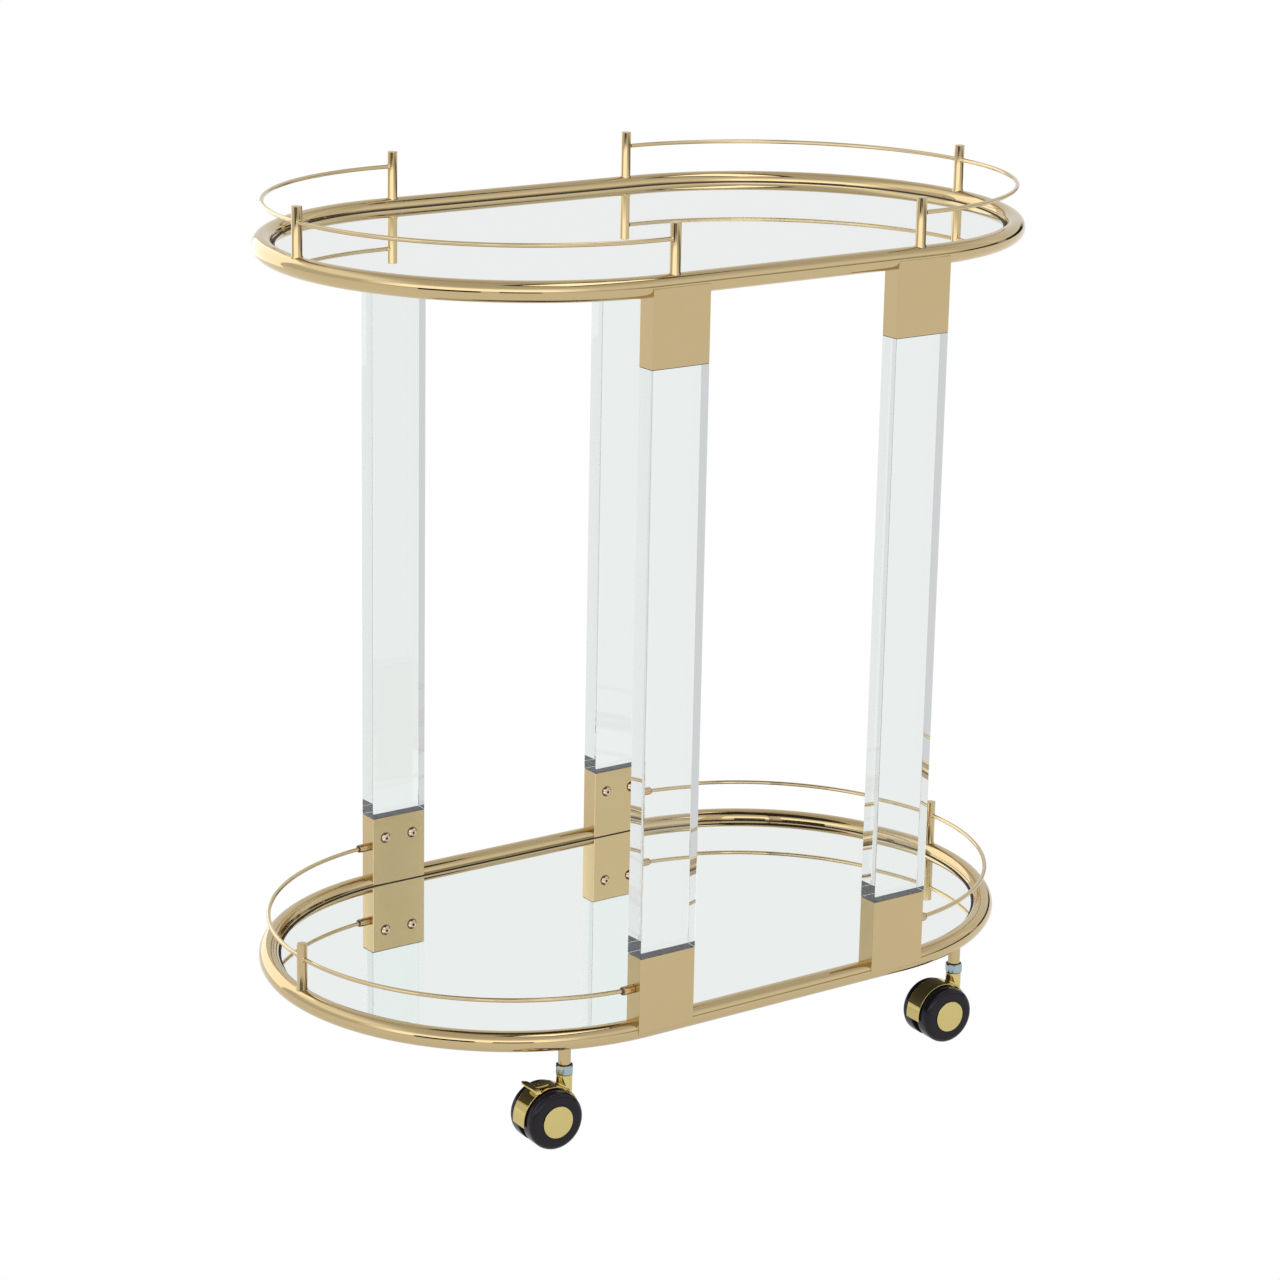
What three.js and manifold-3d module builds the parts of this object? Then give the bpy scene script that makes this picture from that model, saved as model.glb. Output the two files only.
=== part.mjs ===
// Bar cart on wheels: two oval mirror trays on gold tube rims, joined by four clear
// acrylic legs held in square-cut metal sleeves, with a gallery rail round each end of
// both trays and four hooded twin-wheel casters.
// Millimetres, +Z up. X runs along the cart, Y across it. The front is -Y and the left
// is -X. The origin is on the floor under the middle of the cart.

import * as THREE from 'three';
import { mergeVertices } from 'three/addons/utils/BufferGeometryUtils.js';
import { ParametricGeometry } from 'three/addons/geometries/ParametricGeometry.js';
import Module from 'manifold-3d';

const wasm = await Module();
wasm.setup();

// ---------------------------------------------------------------- driving dimensions
const gap = 0.3;                  // left between pieces that touch

// A polygon whose flats are at a radius has its corners this much further out.
const cornerReach = (sides) => 1 / Math.cos(Math.PI / sides);

// trays: each rim is an oval with straight sides and round ends
const bendCentreX = 146;          // where the straight sides end and the round ends begin
const bendRadius = 225.5;         // of the tube's centre line, so also its Y on the sides
const tubeRadius = 9.5;
const tubeBore = 7.7;             // radius of the hollow inside the tube
const bottomTubeZ = 95;
const topTubeZ = 767;
const mirrorRadius = 214.5;       // of the glass's round ends
const boardRadius = 215;
const mirrorThickness = 4;
const boardThickness = 3;

// legs and sleeves
const legCentreX = 133.5;
const legWidth = 60;
const legDepth = 20;
const sleeveReach = 70;           // from the tube's centre line to the sleeve's open edge
const sleeveWall = 1.6;
const sleeveFoot = 13;            // solid part of a bottom sleeve above the tube's centre
const sleeveCap = 6;              // solid part of a top sleeve below the tube's centre
const neckRadius = 8.9;           // the rim tube, turned down where it passes a sleeve

// sleeve screws: a pair on each bottom sleeve's inner face
const screwSpacing = 31;
const screwBelowEdge = 21.5;
const screwShankRadius = 2.9;
const screwHeadRadius = 5;
const screwHeadHeight = 3;
const screwReach = 12;            // how far the shank goes in from the sleeve's face
const hexKeyRadius = 2;

// gallery
const postRadius = 4.75;
const postTop = 53;               // above the tube's centre line
const endPostX = 135;
const railRadius = 2;
const railHeight = 39;            // above the tube's centre line
const ferruleRadius = 3.75;
const ferruleLength = 11;
const ferruleInset = 1.2;         // from the straight side's line, where the rail has bent in

// casters
const casterAngle = 21;           // degrees round the bend from its start
const casterTurn = -3.5;          // degrees that each caster is turned about its stem
const casterTrail = 18;           // stem axis to axle
const wheelRadius = 27;
const wheelInnerY = 4.5;
const wheelFaceY = 20.5;
const wheelEdge = 5;              // rounding of the outer rim
const hubCapRadius = 15;
const hubCapY = 21.5;
const axleRadius = 3;
const axleHalfLength = 18;
const webHalfWidth = 4.2;         // of the plate between the wheels
const hoodHalfWidth = 9.5;
const hoodInnerRadius = 28;
const hoodOuterRadius = 29;
const hoodStart = -8;             // degrees above level, at the trailing side
const hoodEnd = 165;
const neckOuterRadius = 7.25;
const neckTop = 62.7;
const neckBoreBottom = 51;
const collarBottom = 63;
const collarTop = 71.8;
const collarAcrossFlats = 15;
const bossRadius = 5.75;
const bossBottom = 72.1;
const stemRadius = 4;
const stemTop = 86;

// brake lever, on the front left and back right casters
const leverPivot = { x: -24, z: 47.5 };
const leverPinRadius = 1.4;
const leverPlate = 1.8;
const leverBarX = -30;            // the bar's middle
const leverBarWidth = 5.5;
const leverBarHalfLength = 11;
const leverTipX = -14;            // the tip of the tongue that points at the stem
const leverTongueWidth = 5;
const leverZ = 56.4;              // underside of the plate at rest
const leverBladeHalf = 1.6;
const leverBladeReach = 2.2;      // of the blade, each way from the pivot
const slotReach = 5;              // of the hood's slot, each way from the pivot
const slotDepth = 3.5;            // of the slot below the pivot

// ---------------------------------------------------------------- finishes
const finish = (color, roughness, metalness, more = {}) =>
  new THREE.MeshStandardMaterial({ color, roughness, metalness, ...more });

const finishes = {
  gold: finish(0xd9bd8a, 0.15, 1),
  brass: finish(0xd8b95c, 0.15, 1),
  mirror: finish(0xe8edeb, 0.03, 1),
  board: finish(0x2b2b2b, 0.8, 0),
  acrylic: finish(0xf2f6f5, 0.05, 0, { transparent: true, opacity: 0.35 }),
  zinc: finish(0xb8c4cc, 0.35, 1),
  steel: finish(0xc0c0c0, 0.3, 1),
  wheel: finish(0x141414, 0.25, 0),
};

// ---------------------------------------------------------------- solids
// A closed mesh as a manifold solid, for cutting and joining.
function solid(geometry) {
  const shared = geometry.clone();
  shared.deleteAttribute('normal');
  shared.deleteAttribute('uv');
  const merged = mergeVertices(shared, 1e-4);
  return new wasm.Manifold(new wasm.Mesh({
    numProp: 3,
    vertProperties: new Float32Array(merged.attributes.position.array),
    triVerts: new Uint32Array(merged.index.array),
  }));
}

// A manifold solid as a geometry again.
function geometryOf(manifold) {
  const mesh = manifold.getMesh();
  const geometry = new THREE.BufferGeometry();
  geometry.setAttribute('position', new THREE.BufferAttribute(mesh.vertProperties, 3));
  geometry.setIndex(new THREE.BufferAttribute(mesh.triVerts, 1));
  geometry.computeVertexNormals();
  return geometry;
}

// A box from its lowest to its highest corner.
function box(low, high) {
  const size = high.map((value, i) => value - low[i]);
  const middle = high.map((value, i) => (value + low[i]) / 2);
  return solid(new THREE.BoxGeometry(...size).translate(...middle));
}

// A straight bar along X, Y or Z that starts at `from` and is `length` long.
// A flat of its section faces each way across the axis, and `radius` reaches the corners.
function rod(axis, from, length, radius, sides = 12) {
  const bar = new THREE.CylinderGeometry(radius, radius, length, sides);
  bar.rotateY(Math.PI / sides);
  bar.translate(0, length / 2, 0);
  if (axis === 'x') bar.rotateZ(-Math.PI / 2);
  if (axis === 'z') bar.rotateX(Math.PI / 2);
  return solid(bar.translate(...from));
}

const radians = (degrees) => THREE.MathUtils.degToRad(degrees);

// A point on an oval round the origin: `angle` runs round an end from +X, and `side`
// says which end, so the straights lie between the two ends.
function ovalPoint(side, angle, radius) {
  return [
    side * bendCentreX + radius * Math.cos(angle),
    radius * Math.sin(angle),
  ];
}

// A closed tube round the whole oval, as a grid of stations along it and points round it.
function ovalTube(radius, sides, z, bendSteps = 18) {
  const stations = 2 * (bendSteps + 1);
  const place = (around, along, target) => {
    const station = Math.round(along * stations) % stations;
    const right = station <= bendSteps;
    const step = right ? station : station - bendSteps - 1;
    const start = right ? -Math.PI / 2 : Math.PI / 2;
    const angle = start + Math.PI * step / bendSteps;
    const section = -Math.PI * (2 * Math.round(around * sides) + 1) / sides;
    const [x, y] = ovalPoint(right ? 1 : -1, angle, bendRadius + radius * Math.cos(section));
    target.set(x, y, z + radius * Math.sin(section));
  };
  return solid(new ParametricGeometry(place, sides, stations));
}

// A flat oval plate whose top is at z.
function ovalPlate(radius, thickness, z) {
  const outline = new THREE.Shape();
  outline.absarc(bendCentreX, 0, radius, -Math.PI / 2, Math.PI / 2);
  outline.absarc(-bendCentreX, 0, radius, Math.PI / 2, 3 * Math.PI / 2);
  outline.closePath();
  const plate = new THREE.ExtrudeGeometry(outline,
    { depth: thickness, bevelEnabled: false, curveSegments: 10 });
  return solid(plate.translate(0, 0, z - thickness));
}

// The line that a gallery rail follows: the tube's centre line round one end, from
// startX on the front side to the same X on the back side.
class GalleryLine extends THREE.Curve {
  constructor(side, startX, z) {
    super();
    this.side = side;
    this.z = z;
    this.straight = Math.max(bendCentreX - startX, 0);
    this.skip = Math.asin(Math.max(startX - bendCentreX, 0) / bendRadius);
    this.bend = (Math.PI - 2 * this.skip) * bendRadius;
  }

  getPoint(t, target = new THREE.Vector3()) {
    const along = t * (this.bend + 2 * this.straight) - this.straight;
    const bent = THREE.MathUtils.clamp(along, 0, this.bend);
    const angle = -Math.PI / 2 + this.skip + bent / bendRadius;
    const x = bendCentreX + bendRadius * Math.cos(angle);
    const y = bendRadius * Math.sin(angle);
    const extra = Math.abs(along - bent);
    return target.set(this.side * (x - extra), y, this.z);
  }
}

function galleryRod(side, startX, z, radius, sides, steps) {
  const section = new THREE.Shape().absarc(0, 0, radius, 0, 2 * Math.PI);
  return solid(new THREE.ExtrudeGeometry(section, {
    extrudePath: new GalleryLine(side, startX, z),
    steps,
    curveSegments: sides / 2,
  }));
}

const joined = (pieces) => pieces.reduce((whole, piece) => whole.add(piece));
const cutBy = (piece, tools) => tools.reduce((rest, tool) => rest.subtract(tool), piece);

// ---------------------------------------------------------------- the assembly
const cart = new THREE.Group();
cart.name = 'bar_cart';

function addNode(name, shape, material, parent = cart) {
  const mesh = new THREE.Mesh(geometryOf(shape), material);
  mesh.name = name;
  parent.add(mesh);
}

const corners = [
  { name: 'front_left', x: -1, y: -1, brake: true },
  { name: 'front_right', x: 1, y: -1, brake: false },
  { name: 'back_left', x: -1, y: 1, brake: false },
  { name: 'back_right', x: 1, y: 1, brake: true },
];
const ends = [{ name: 'left', x: -1 }, { name: 'right', x: 1 }];

const legY = bendRadius;
const casterX = bendCentreX + bendRadius * Math.sin(radians(casterAngle));
const casterY = bendRadius * Math.cos(radians(casterAngle));
const bottomSleeveEdge = bottomTubeZ + sleeveReach;
const topSleeveEdge = topTubeZ - sleeveReach;
const screwZ = bottomSleeveEdge - screwBelowEdge;

// A box round a leg's centre line, grown sideways by `grow`.
function legBox(corner, low, high, grow) {
  const x = corner.x * legCentreX;
  const y = corner.y * legY;
  const halfX = legWidth / 2 + grow;
  const halfY = legDepth / 2 + grow;
  return box([x - halfX, y - halfY, low], [x + halfX, y + halfY, high]);
}

// A bar along Y that starts at the sleeve's inner face and goes into the leg.
function screwBar(corner, offset, start, length, radius, sides) {
  const face = legY - legDepth / 2;
  const near = corner.y > 0 ? face + start : -face - start - length;
  return rod('y', [corner.x * legCentreX + offset, near, screwZ], length, radius, sides);
}

const screwOffsets = [-screwSpacing / 2, screwSpacing / 2];

// ---- rims
function bottomRim() {
  const bosses = corners.map(({ x, y }) =>
    rod('z', [x * casterX, y * casterY, bossBottom], bottomTubeZ - bossBottom, bossRadius));
  const hollow = ovalTube(tubeBore, 6, bottomTubeZ);
  const collars = corners.map((corner) => {
    const around = legBox(corner, bottomTubeZ - legDepth, bottomTubeZ + sleeveFoot, gap);
    const from = [corner.x * legCentreX - legWidth, corner.y * legY, bottomTubeZ];
    return around.subtract(rod('x', from, 2 * legWidth, neckRadius, 12));
  });
  const bores = corners.map(({ x, y }) =>
    rod('z', [x * casterX, y * casterY, bossBottom - 1], stemTop + 2 - bossBottom,
      stemRadius + gap));
  const tube = joined([ovalTube(tubeRadius, 12, bottomTubeZ), ...bosses]);
  return cutBy(tube, [hollow, ...collars, ...bores]);
}

function topRim() {
  const seats = corners.map((corner) =>
    legBox(corner, topTubeZ - legDepth, topTubeZ, gap));
  return cutBy(ovalTube(tubeRadius, 12, topTubeZ), [ovalTube(tubeBore, 6, topTubeZ), ...seats]);
}

addNode('bottom_rim', bottomRim(), finishes.gold);
addNode('top_rim', topRim(), finishes.gold);

// ---- mirrors and the boards under them
for (const [tray, z] of [['bottom', bottomTubeZ], ['top', topTubeZ]]) {
  addNode(`${tray}_mirror`, ovalPlate(mirrorRadius, mirrorThickness, z), finishes.mirror);
  const boardTop = z - mirrorThickness - gap;
  addNode(`${tray}_backing_board`, ovalPlate(boardRadius, boardThickness, boardTop),
    finishes.board);
}

// ---- legs, sleeves and the screws that hold them together
function bottomSleeve(corner) {
  const pocket = legBox(corner, bottomTubeZ + sleeveFoot, bottomSleeveEdge + 1, -sleeveWall);
  const from = [corner.x * legCentreX - legWidth, corner.y * legY, bottomTubeZ];
  const tunnel = rod('x', from, 2 * legWidth, neckRadius + gap, 12);
  const holes = screwOffsets.map((offset) =>
    screwBar(corner, offset, -1, 5, screwShankRadius + gap, 8));
  const body = legBox(corner, bottomTubeZ - legDepth / 2, bottomSleeveEdge, 0);
  return cutBy(body, [pocket, tunnel, ...holes]);
}

function topSleeve(corner) {
  const pocket = legBox(corner, topSleeveEdge - 1, topTubeZ - sleeveCap, -sleeveWall);
  return legBox(corner, topSleeveEdge, topTubeZ - gap, 0).subtract(pocket);
}

function leg(corner) {
  const tenonIn = -(sleeveWall + gap);
  const holes = screwOffsets.map((offset) =>
    screwBar(corner, offset, 1, screwReach, screwShankRadius + gap, 8));
  const body = joined([
    legBox(corner, bottomSleeveEdge + gap, topSleeveEdge - gap, 0),
    legBox(corner, bottomTubeZ + sleeveFoot + gap, topTubeZ - sleeveCap - gap, tenonIn),
  ]);
  return cutBy(body, holes);
}

function sleeveScrew(corner, offset) {
  const shank = screwBar(corner, offset, -gap, screwReach, screwShankRadius, 8);
  const head = screwBar(corner, offset, -gap - screwHeadHeight, screwHeadHeight,
    screwHeadRadius, 12);
  const socket = screwBar(corner, offset, -gap - screwHeadHeight - 1, screwHeadHeight,
    hexKeyRadius, 6);
  return head.add(shank).subtract(socket);
}

for (const corner of corners) {
  addNode(`leg_${corner.name}`, leg(corner), finishes.acrylic);
  addNode(`bottom_sleeve_${corner.name}`, bottomSleeve(corner), finishes.gold);
  addNode(`top_sleeve_${corner.name}`, topSleeve(corner), finishes.gold);
  screwOffsets.forEach((offset, i) =>
    addNode(`sleeve_screw_${corner.name}_${i + 1}`, sleeveScrew(corner, offset), finishes.gold));
}

// ---- gallery posts and rails
// A post stands on the tube, hollowed under its foot to sit on it.
function post(x, y, tubeZ, seatAxis) {
  const body = rod('z', [x, y, tubeZ], postTop, postRadius);
  const across = 2 * postRadius;
  const seatFrom = seatAxis === 'x' ? [x - across, y, tubeZ] : [x, y - across, tubeZ];
  const seatSides = 16;
  const seatRadius = (tubeRadius + gap) * cornerReach(seatSides);
  const seat = rod(seatAxis, seatFrom, 2 * across, seatRadius, seatSides);
  return body.subtract(seat);
}

// A post at the middle of an end has a hole that the rail runs through.
function endPost(x, tubeZ) {
  const holeFrom = [x, -2 * postRadius, tubeZ + railHeight];
  const hole = rod('y', holeFrom, 4 * postRadius, railRadius + 2 * gap, 8);
  return post(x, 0, tubeZ, 'y').subtract(hole);
}

for (const end of ends) {
  const apexX = end.x * (bendCentreX + bendRadius);
  addNode(`bottom_post_${end.name}`, endPost(apexX, bottomTubeZ), finishes.gold);
  addNode(`top_post_${end.name}`, endPost(apexX, topTubeZ), finishes.gold);
  for (const [side, y] of [['front', -legY], ['back', legY]]) {
    addNode(`top_post_${side}_${end.name}`, post(end.x * endPostX, y, topTubeZ, 'x'),
      finishes.gold);
  }

  const topRailStart = endPostX + postRadius + gap;
  addNode(`top_rail_${end.name}`,
    galleryRod(end.x, topRailStart, topTubeZ + railHeight, railRadius, 6, 24), finishes.gold);

  const bottomRailStart = legCentreX + legWidth / 2 + gap;
  const railZ = bottomTubeZ + railHeight;
  const ferrules = [-1, 1].map((side) => {
    const startX = end.x > 0 ? bottomRailStart : -bottomRailStart - ferruleLength;
    const y = side * (legY - ferruleInset);
    return rod('x', [startX, y, railZ], ferruleLength, ferruleRadius);
  });
  const rail = galleryRod(end.x, bottomRailStart + 1, railZ, railRadius, 6, 22);
  addNode(`bottom_rail_${end.name}`, joined([rail, ...ferrules]), finishes.gold);
}

// ---- casters, each in its own frame: the stem's axis is Z, the wheels trail towards -X
// and the axle runs along Y
const axle = { x: -casterTrail, z: wheelRadius };

// A drum round the axle, between two places along Y.
const drum = (radius, fromY, toY, sides) =>
  rod('y', [axle.x, fromY, axle.z], toY - fromY, radius, sides);

function casterStem() {
  const foot = neckBoreBottom + gap;
  const pin = rod('z', [0, 0, foot], stemTop - foot, stemRadius);
  const collarRadius = collarAcrossFlats / 2 * cornerReach(6);
  const collar = rod('z', [0, 0, collarBottom], collarTop - collarBottom, collarRadius, 6);
  return pin.add(collar);
}

// The arch between the wheels: a thin shell over them, a plate down the middle that
// carries the axle, and the socket for the stem.
function hoodShape() {
  const outline = new THREE.Shape();
  const start = radians(hoodStart);
  const end = radians(hoodEnd);
  outline.absarc(0, 0, hoodOuterRadius, start, end);
  outline.absarc(0, 0, hoodInnerRadius, end, start, true);
  outline.closePath();
  return outline;
}

// Stands an outline drawn in the wheel's plane round the axle, with its X as the trail.
function standing(outline, halfWidth, curveSegments) {
  const slab = new THREE.ExtrudeGeometry(outline,
    { depth: 2 * halfWidth, bevelEnabled: false, curveSegments });
  slab.translate(0, 0, -halfWidth);
  slab.rotateX(Math.PI / 2);
  slab.rotateZ(Math.PI);
  return solid(slab.translate(axle.x, 0, axle.z));
}

function webShape() {
  const outline = new THREE.Shape();
  const hubRadius = 7;
  outline.moveTo(hubRadius, 0);
  outline.lineTo(hoodOuterRadius - 0.5, 0);
  outline.absarc(0, 0, hoodOuterRadius - 0.5, 0, radians(hoodEnd));
  outline.absarc(0, 0, hubRadius, Math.PI, 2 * Math.PI);
  outline.closePath();
  return outline;
}

function casterHood(brake) {
  const wheelRoom = [-1, 1].map((side) => {
    const near = side * webHalfWidth;
    const far = side * 2 * hoodHalfWidth;
    return drum(hoodInnerRadius, Math.min(near, far), Math.max(near, far), 24);
  });
  const neckFoot = 40;
  const socket = cutBy(rod('z', [0, 0, neckFoot], neckTop - neckFoot, neckOuterRadius, 12),
    wheelRoom);
  const bore = rod('z', [0, 0, neckBoreBottom], neckTop, stemRadius + gap);
  const axleHole = drum(axleRadius + gap, -hoodHalfWidth, hoodHalfWidth, 12);
  const whole = joined([
    standing(hoodShape(), hoodHalfWidth, 7),
    standing(webShape(), webHalfWidth, 7),
    socket,
  ]);
  const slots = [];
  if (brake) {
    const { x, z } = leverPivot;
    const slotHalf = leverBladeHalf + gap;
    slots.push(box([x - slotReach, -slotHalf, z - slotDepth], [x + slotReach, slotHalf, neckTop]));
    slots.push(rod('y', [x, -webHalfWidth - 1, z], 2 * webHalfWidth + 2, leverPinRadius + gap));
  }
  return cutBy(whole, [bore, axleHole, ...slots]);
}

// A wheel on the -Y side of its caster: hollow hub inwards, rounded outer rim, flat cap.
function wheelSolid() {
  const facets = 20;
  const profile = [
    [0, -hubCapY],
    [hubCapRadius, -hubCapY],
    [hubCapRadius + 0.4, -wheelFaceY + 0.4],
    [wheelRadius - wheelEdge, -wheelFaceY],
    [wheelRadius - 1.5, -wheelFaceY + 1.7],
    [wheelRadius, -wheelFaceY + wheelEdge],
    [wheelRadius, -wheelInnerY],
    [axleRadius + gap, -wheelInnerY],
    [axleRadius + gap, -axleHalfLength - gap],
    [0, -axleHalfLength - gap],
  ].map(([radius, y]) => new THREE.Vector2(radius * cornerReach(facets), y));
  const turned = new THREE.LatheGeometry(profile, facets);
  turned.rotateY(Math.PI / facets);
  return solid(turned.translate(axle.x, 0, axle.z));
}

function brakeLever() {
  const top = leverZ + leverPlate;
  const bar = box(
    [leverBarX - leverBarWidth / 2, -leverBarHalfLength, leverZ],
    [leverBarX + leverBarWidth / 2, leverBarHalfLength, top]);
  const tongue = box(
    [leverBarX, -leverTongueWidth / 2, leverZ], [leverTipX, leverTongueWidth / 2, top]);
  const blade = box(
    [leverPivot.x - leverBladeReach, -leverBladeHalf, leverPivot.z - leverBladeReach],
    [leverPivot.x + leverBladeReach, leverBladeHalf, leverZ + leverPlate / 2]);
  const pinHalf = webHalfWidth - gap;
  const pin = rod('y', [leverPivot.x, -pinHalf, leverPivot.z], 2 * pinHalf, leverPinRadius);
  return joined([bar, tongue, blade, pin]);
}

for (const corner of corners) {
  const caster = new THREE.Group();
  caster.position.set(corner.x * casterX, corner.y * casterY, 0);
  caster.rotation.z = radians(casterTurn);
  cart.add(caster);
  const nearWheel = wheelSolid();
  addNode(`caster_stem_${corner.name}`, casterStem(), finishes.zinc, caster);
  addNode(`caster_hood_${corner.name}`, casterHood(corner.brake), finishes.brass, caster);
  addNode(`caster_axle_${corner.name}`, drum(axleRadius, -axleHalfLength, axleHalfLength, 12),
    finishes.steel, caster);
  addNode(`wheel_near_${corner.name}`, nearWheel, finishes.wheel, caster);
  addNode(`wheel_far_${corner.name}`, nearWheel.mirror([0, 1, 0]), finishes.wheel, caster);
  if (corner.brake) {
    addNode(`brake_lever_${corner.name}`, brakeLever(), finishes.brass, caster);
  }
}

export default cart;
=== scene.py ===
"""The looks of a bar cart on wheels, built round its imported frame.

Metres, +Z up. The front is -Y and the left is -X, and the origin is on the floor under
the middle of the cart.
"""

import math

import bmesh
import bpy
from mathutils import Matrix, Quaternion, Vector


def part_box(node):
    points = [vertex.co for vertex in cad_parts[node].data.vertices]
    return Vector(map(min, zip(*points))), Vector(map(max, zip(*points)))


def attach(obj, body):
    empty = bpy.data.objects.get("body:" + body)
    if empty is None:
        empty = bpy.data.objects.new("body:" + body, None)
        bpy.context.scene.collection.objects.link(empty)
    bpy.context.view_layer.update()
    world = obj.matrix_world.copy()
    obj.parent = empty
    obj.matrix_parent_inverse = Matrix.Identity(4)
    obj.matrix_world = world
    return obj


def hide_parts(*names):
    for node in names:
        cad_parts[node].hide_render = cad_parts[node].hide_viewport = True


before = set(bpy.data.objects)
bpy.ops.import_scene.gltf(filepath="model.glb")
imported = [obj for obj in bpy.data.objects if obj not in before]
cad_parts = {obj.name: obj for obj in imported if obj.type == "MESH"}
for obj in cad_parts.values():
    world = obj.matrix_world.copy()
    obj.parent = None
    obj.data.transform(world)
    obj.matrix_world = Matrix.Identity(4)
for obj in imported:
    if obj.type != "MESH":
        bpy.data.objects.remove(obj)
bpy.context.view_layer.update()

MM = 0.001


def middle(node):
    """The middle of a node's box."""
    low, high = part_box(node)
    return (low + high) / 2


# ---------------------------------------------------------------- sizes
# places that the frame gives
TRAYS = ("bottom", "top")
CORNERS = ("front_left", "front_right", "back_left", "back_right")
BRAKED = [c for c in CORNERS if f"brake_lever_{c}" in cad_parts]
BODY = "frame"
GLASS_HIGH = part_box("top_mirror")[1]
BEND_X = GLASS_HIGH.x - GLASS_HIGH.y
SIDE_Y = middle("leg_back_left").y
TRAY_Z = {tray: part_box(f"{tray}_mirror")[1].z for tray in TRAYS}
LEG_OUTER_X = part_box("leg_back_right")[1].x
END_POST_X = middle("top_post_back_right").x
APEX_X = BEND_X + SIDE_Y
AXLE_Z = middle("caster_axle_front_left").z

# rims, glass and boards
TUBE_RADIUS = 9.5 * MM
GLASS_RADIUS = GLASS_HIGH.y
GLASS_THICKNESS = 4 * MM
GLASS_EDGE = 0.5 * MM
BOARD_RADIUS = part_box("top_backing_board")[1].y
BOARD_THICKNESS = 3 * MM
BOARD_EDGE = 0.4 * MM
# a black bead round each mirror: painted shade in the gap between glass and rim
GAP_SHADE_RADIUS = 0.85 * MM
GAP_SHADE_SINK = 0.1 * MM
GAP_SHADE_SIDES = 12

# sleeves, legs and their screws
SLEEVE_ROUND = 0.7 * MM
SLEEVE_SINK = 1.5 * MM
LEG_ROUND = 0.6 * MM
MOUTH_INSET = 0.5 * MM
MOUTH_OVERLAP = 0.4 * MM
SCREW_HEAD_RADIUS = 4.9 * MM
# the dark disc under each screw head is painted contact shadow
SCREW_SHADOW_RADIUS = 5.4 * MM
SCREW_HEAD_HEIGHT = 2.9 * MM
SCREW_SOCKET_RADIUS = 1.5 * MM
SCREW_SOCKET_DEPTH = 1.9 * MM
SCREW_SOCKET_LIP = 0.35 * MM

# gallery
POST_RADIUS = 4.75 * MM
POST_TOP = 53 * MM
POST_FOOT = 6 * MM
POST_EASE = 0.45 * MM
POST_WELD = 0.7 * MM
POST_WELD_RISE = 1.4 * MM
RAIL_RADIUS = 2 * MM
RAIL_HEIGHT = 39 * MM
RAIL_SIDES = 20
RAIL_WELD_LENGTH = 1.6 * MM
RAIL_WELD_FLARE = 0.55
RAIL_WELD_SINK = 0.35 * MM
FERRULE_RADIUS = 4.1 * MM
FERRULE_LENGTH = 11 * MM
FERRULE_INSET = 1.2 * MM
FERRULE_NECK = 0.8 * MM
FERRULE_NECK_STEP = 0.7 * MM
FERRULE_EASE = 0.4 * MM
# a dark disc at each ferrule's end: painted shade round the rod
FERRULE_SHADE_STEP = 0.5 * MM
FERRULE_SHADE_RISE = 0.8 * MM

# casters, in the caster's own frame: stem on Z, wheels trailing towards -X, axle along Y
TRAIL = 18 * MM
WHEEL_RADIUS = 27 * MM
WHEEL_INNER = 4.5 * MM
WHEEL_FACE = 20.5 * MM
WHEEL_EDGE = 5.2 * MM
WHEEL_BACK_EDGE = 1.2 * MM
WHEEL_EASE = 0.3 * MM
WHEEL_HUB = 8 * MM
RECESS_RADIUS = 21.5 * MM
RECESS_DEPTH = 2.5 * MM
RECESS_SLOPE = 1 * MM
RECESS_EASE = 0.5 * MM
BORE_RADIUS = 3.3 * MM
CAP_RADIUS = 15 * MM
CAP_FACE = 21.5 * MM
CAP_GROOVE = 0.5 * MM
CAP_SEAT = 1 * MM
CAP_THICKNESS = 1.9 * MM
CAP_EASE = 0.7 * MM
CAP_FLAT = 2.2 * MM
HOOD_INNER = 28 * MM
HOOD_OUTER = 29 * MM
HOOD_HALF = 9.5 * MM
HOOD_EASE = 0.35 * MM
HOOD_START = math.radians(-8)
HOOD_END = math.radians(165)
WEB_HALF = 4.2 * MM
WEB_HUB = 7 * MM
WEB_OVERLAP = 0.4 * MM
NECK_RADIUS = 7.25 * MM
NECK_TOP = 62.7 * MM
NECK_FILLET = 1.9 * MM
NECK_SINK = 0.1 * MM
NECK_EASE = 0.8 * MM
NECK_EASE_FROM = 4 * MM
COLLAR_FLATS = 15 * MM
COLLAR_BOTTOM = 63 * MM
COLLAR_TOP = 71.8 * MM
COLLAR_CHAMFER = 1 * MM
COLLAR_CHAMFER_START = 0.3 * MM
COLLAR_LAND = 0.5 * MM
COLLAR_DISH_FROM = 1.3 * MM
COLLAR_DISH_TO = 1.9 * MM
COLLAR_DISH_DEPTH = 1.2 * MM
STEM_RADIUS = 4 * MM
STEM_TOP = 86 * MM
BOSS_RADIUS = 5.75 * MM
BOSS_BOTTOM = 72.1 * MM
BOSS_EASE = 0.6 * MM
LEVER_THICK = 1.8 * MM
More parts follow.
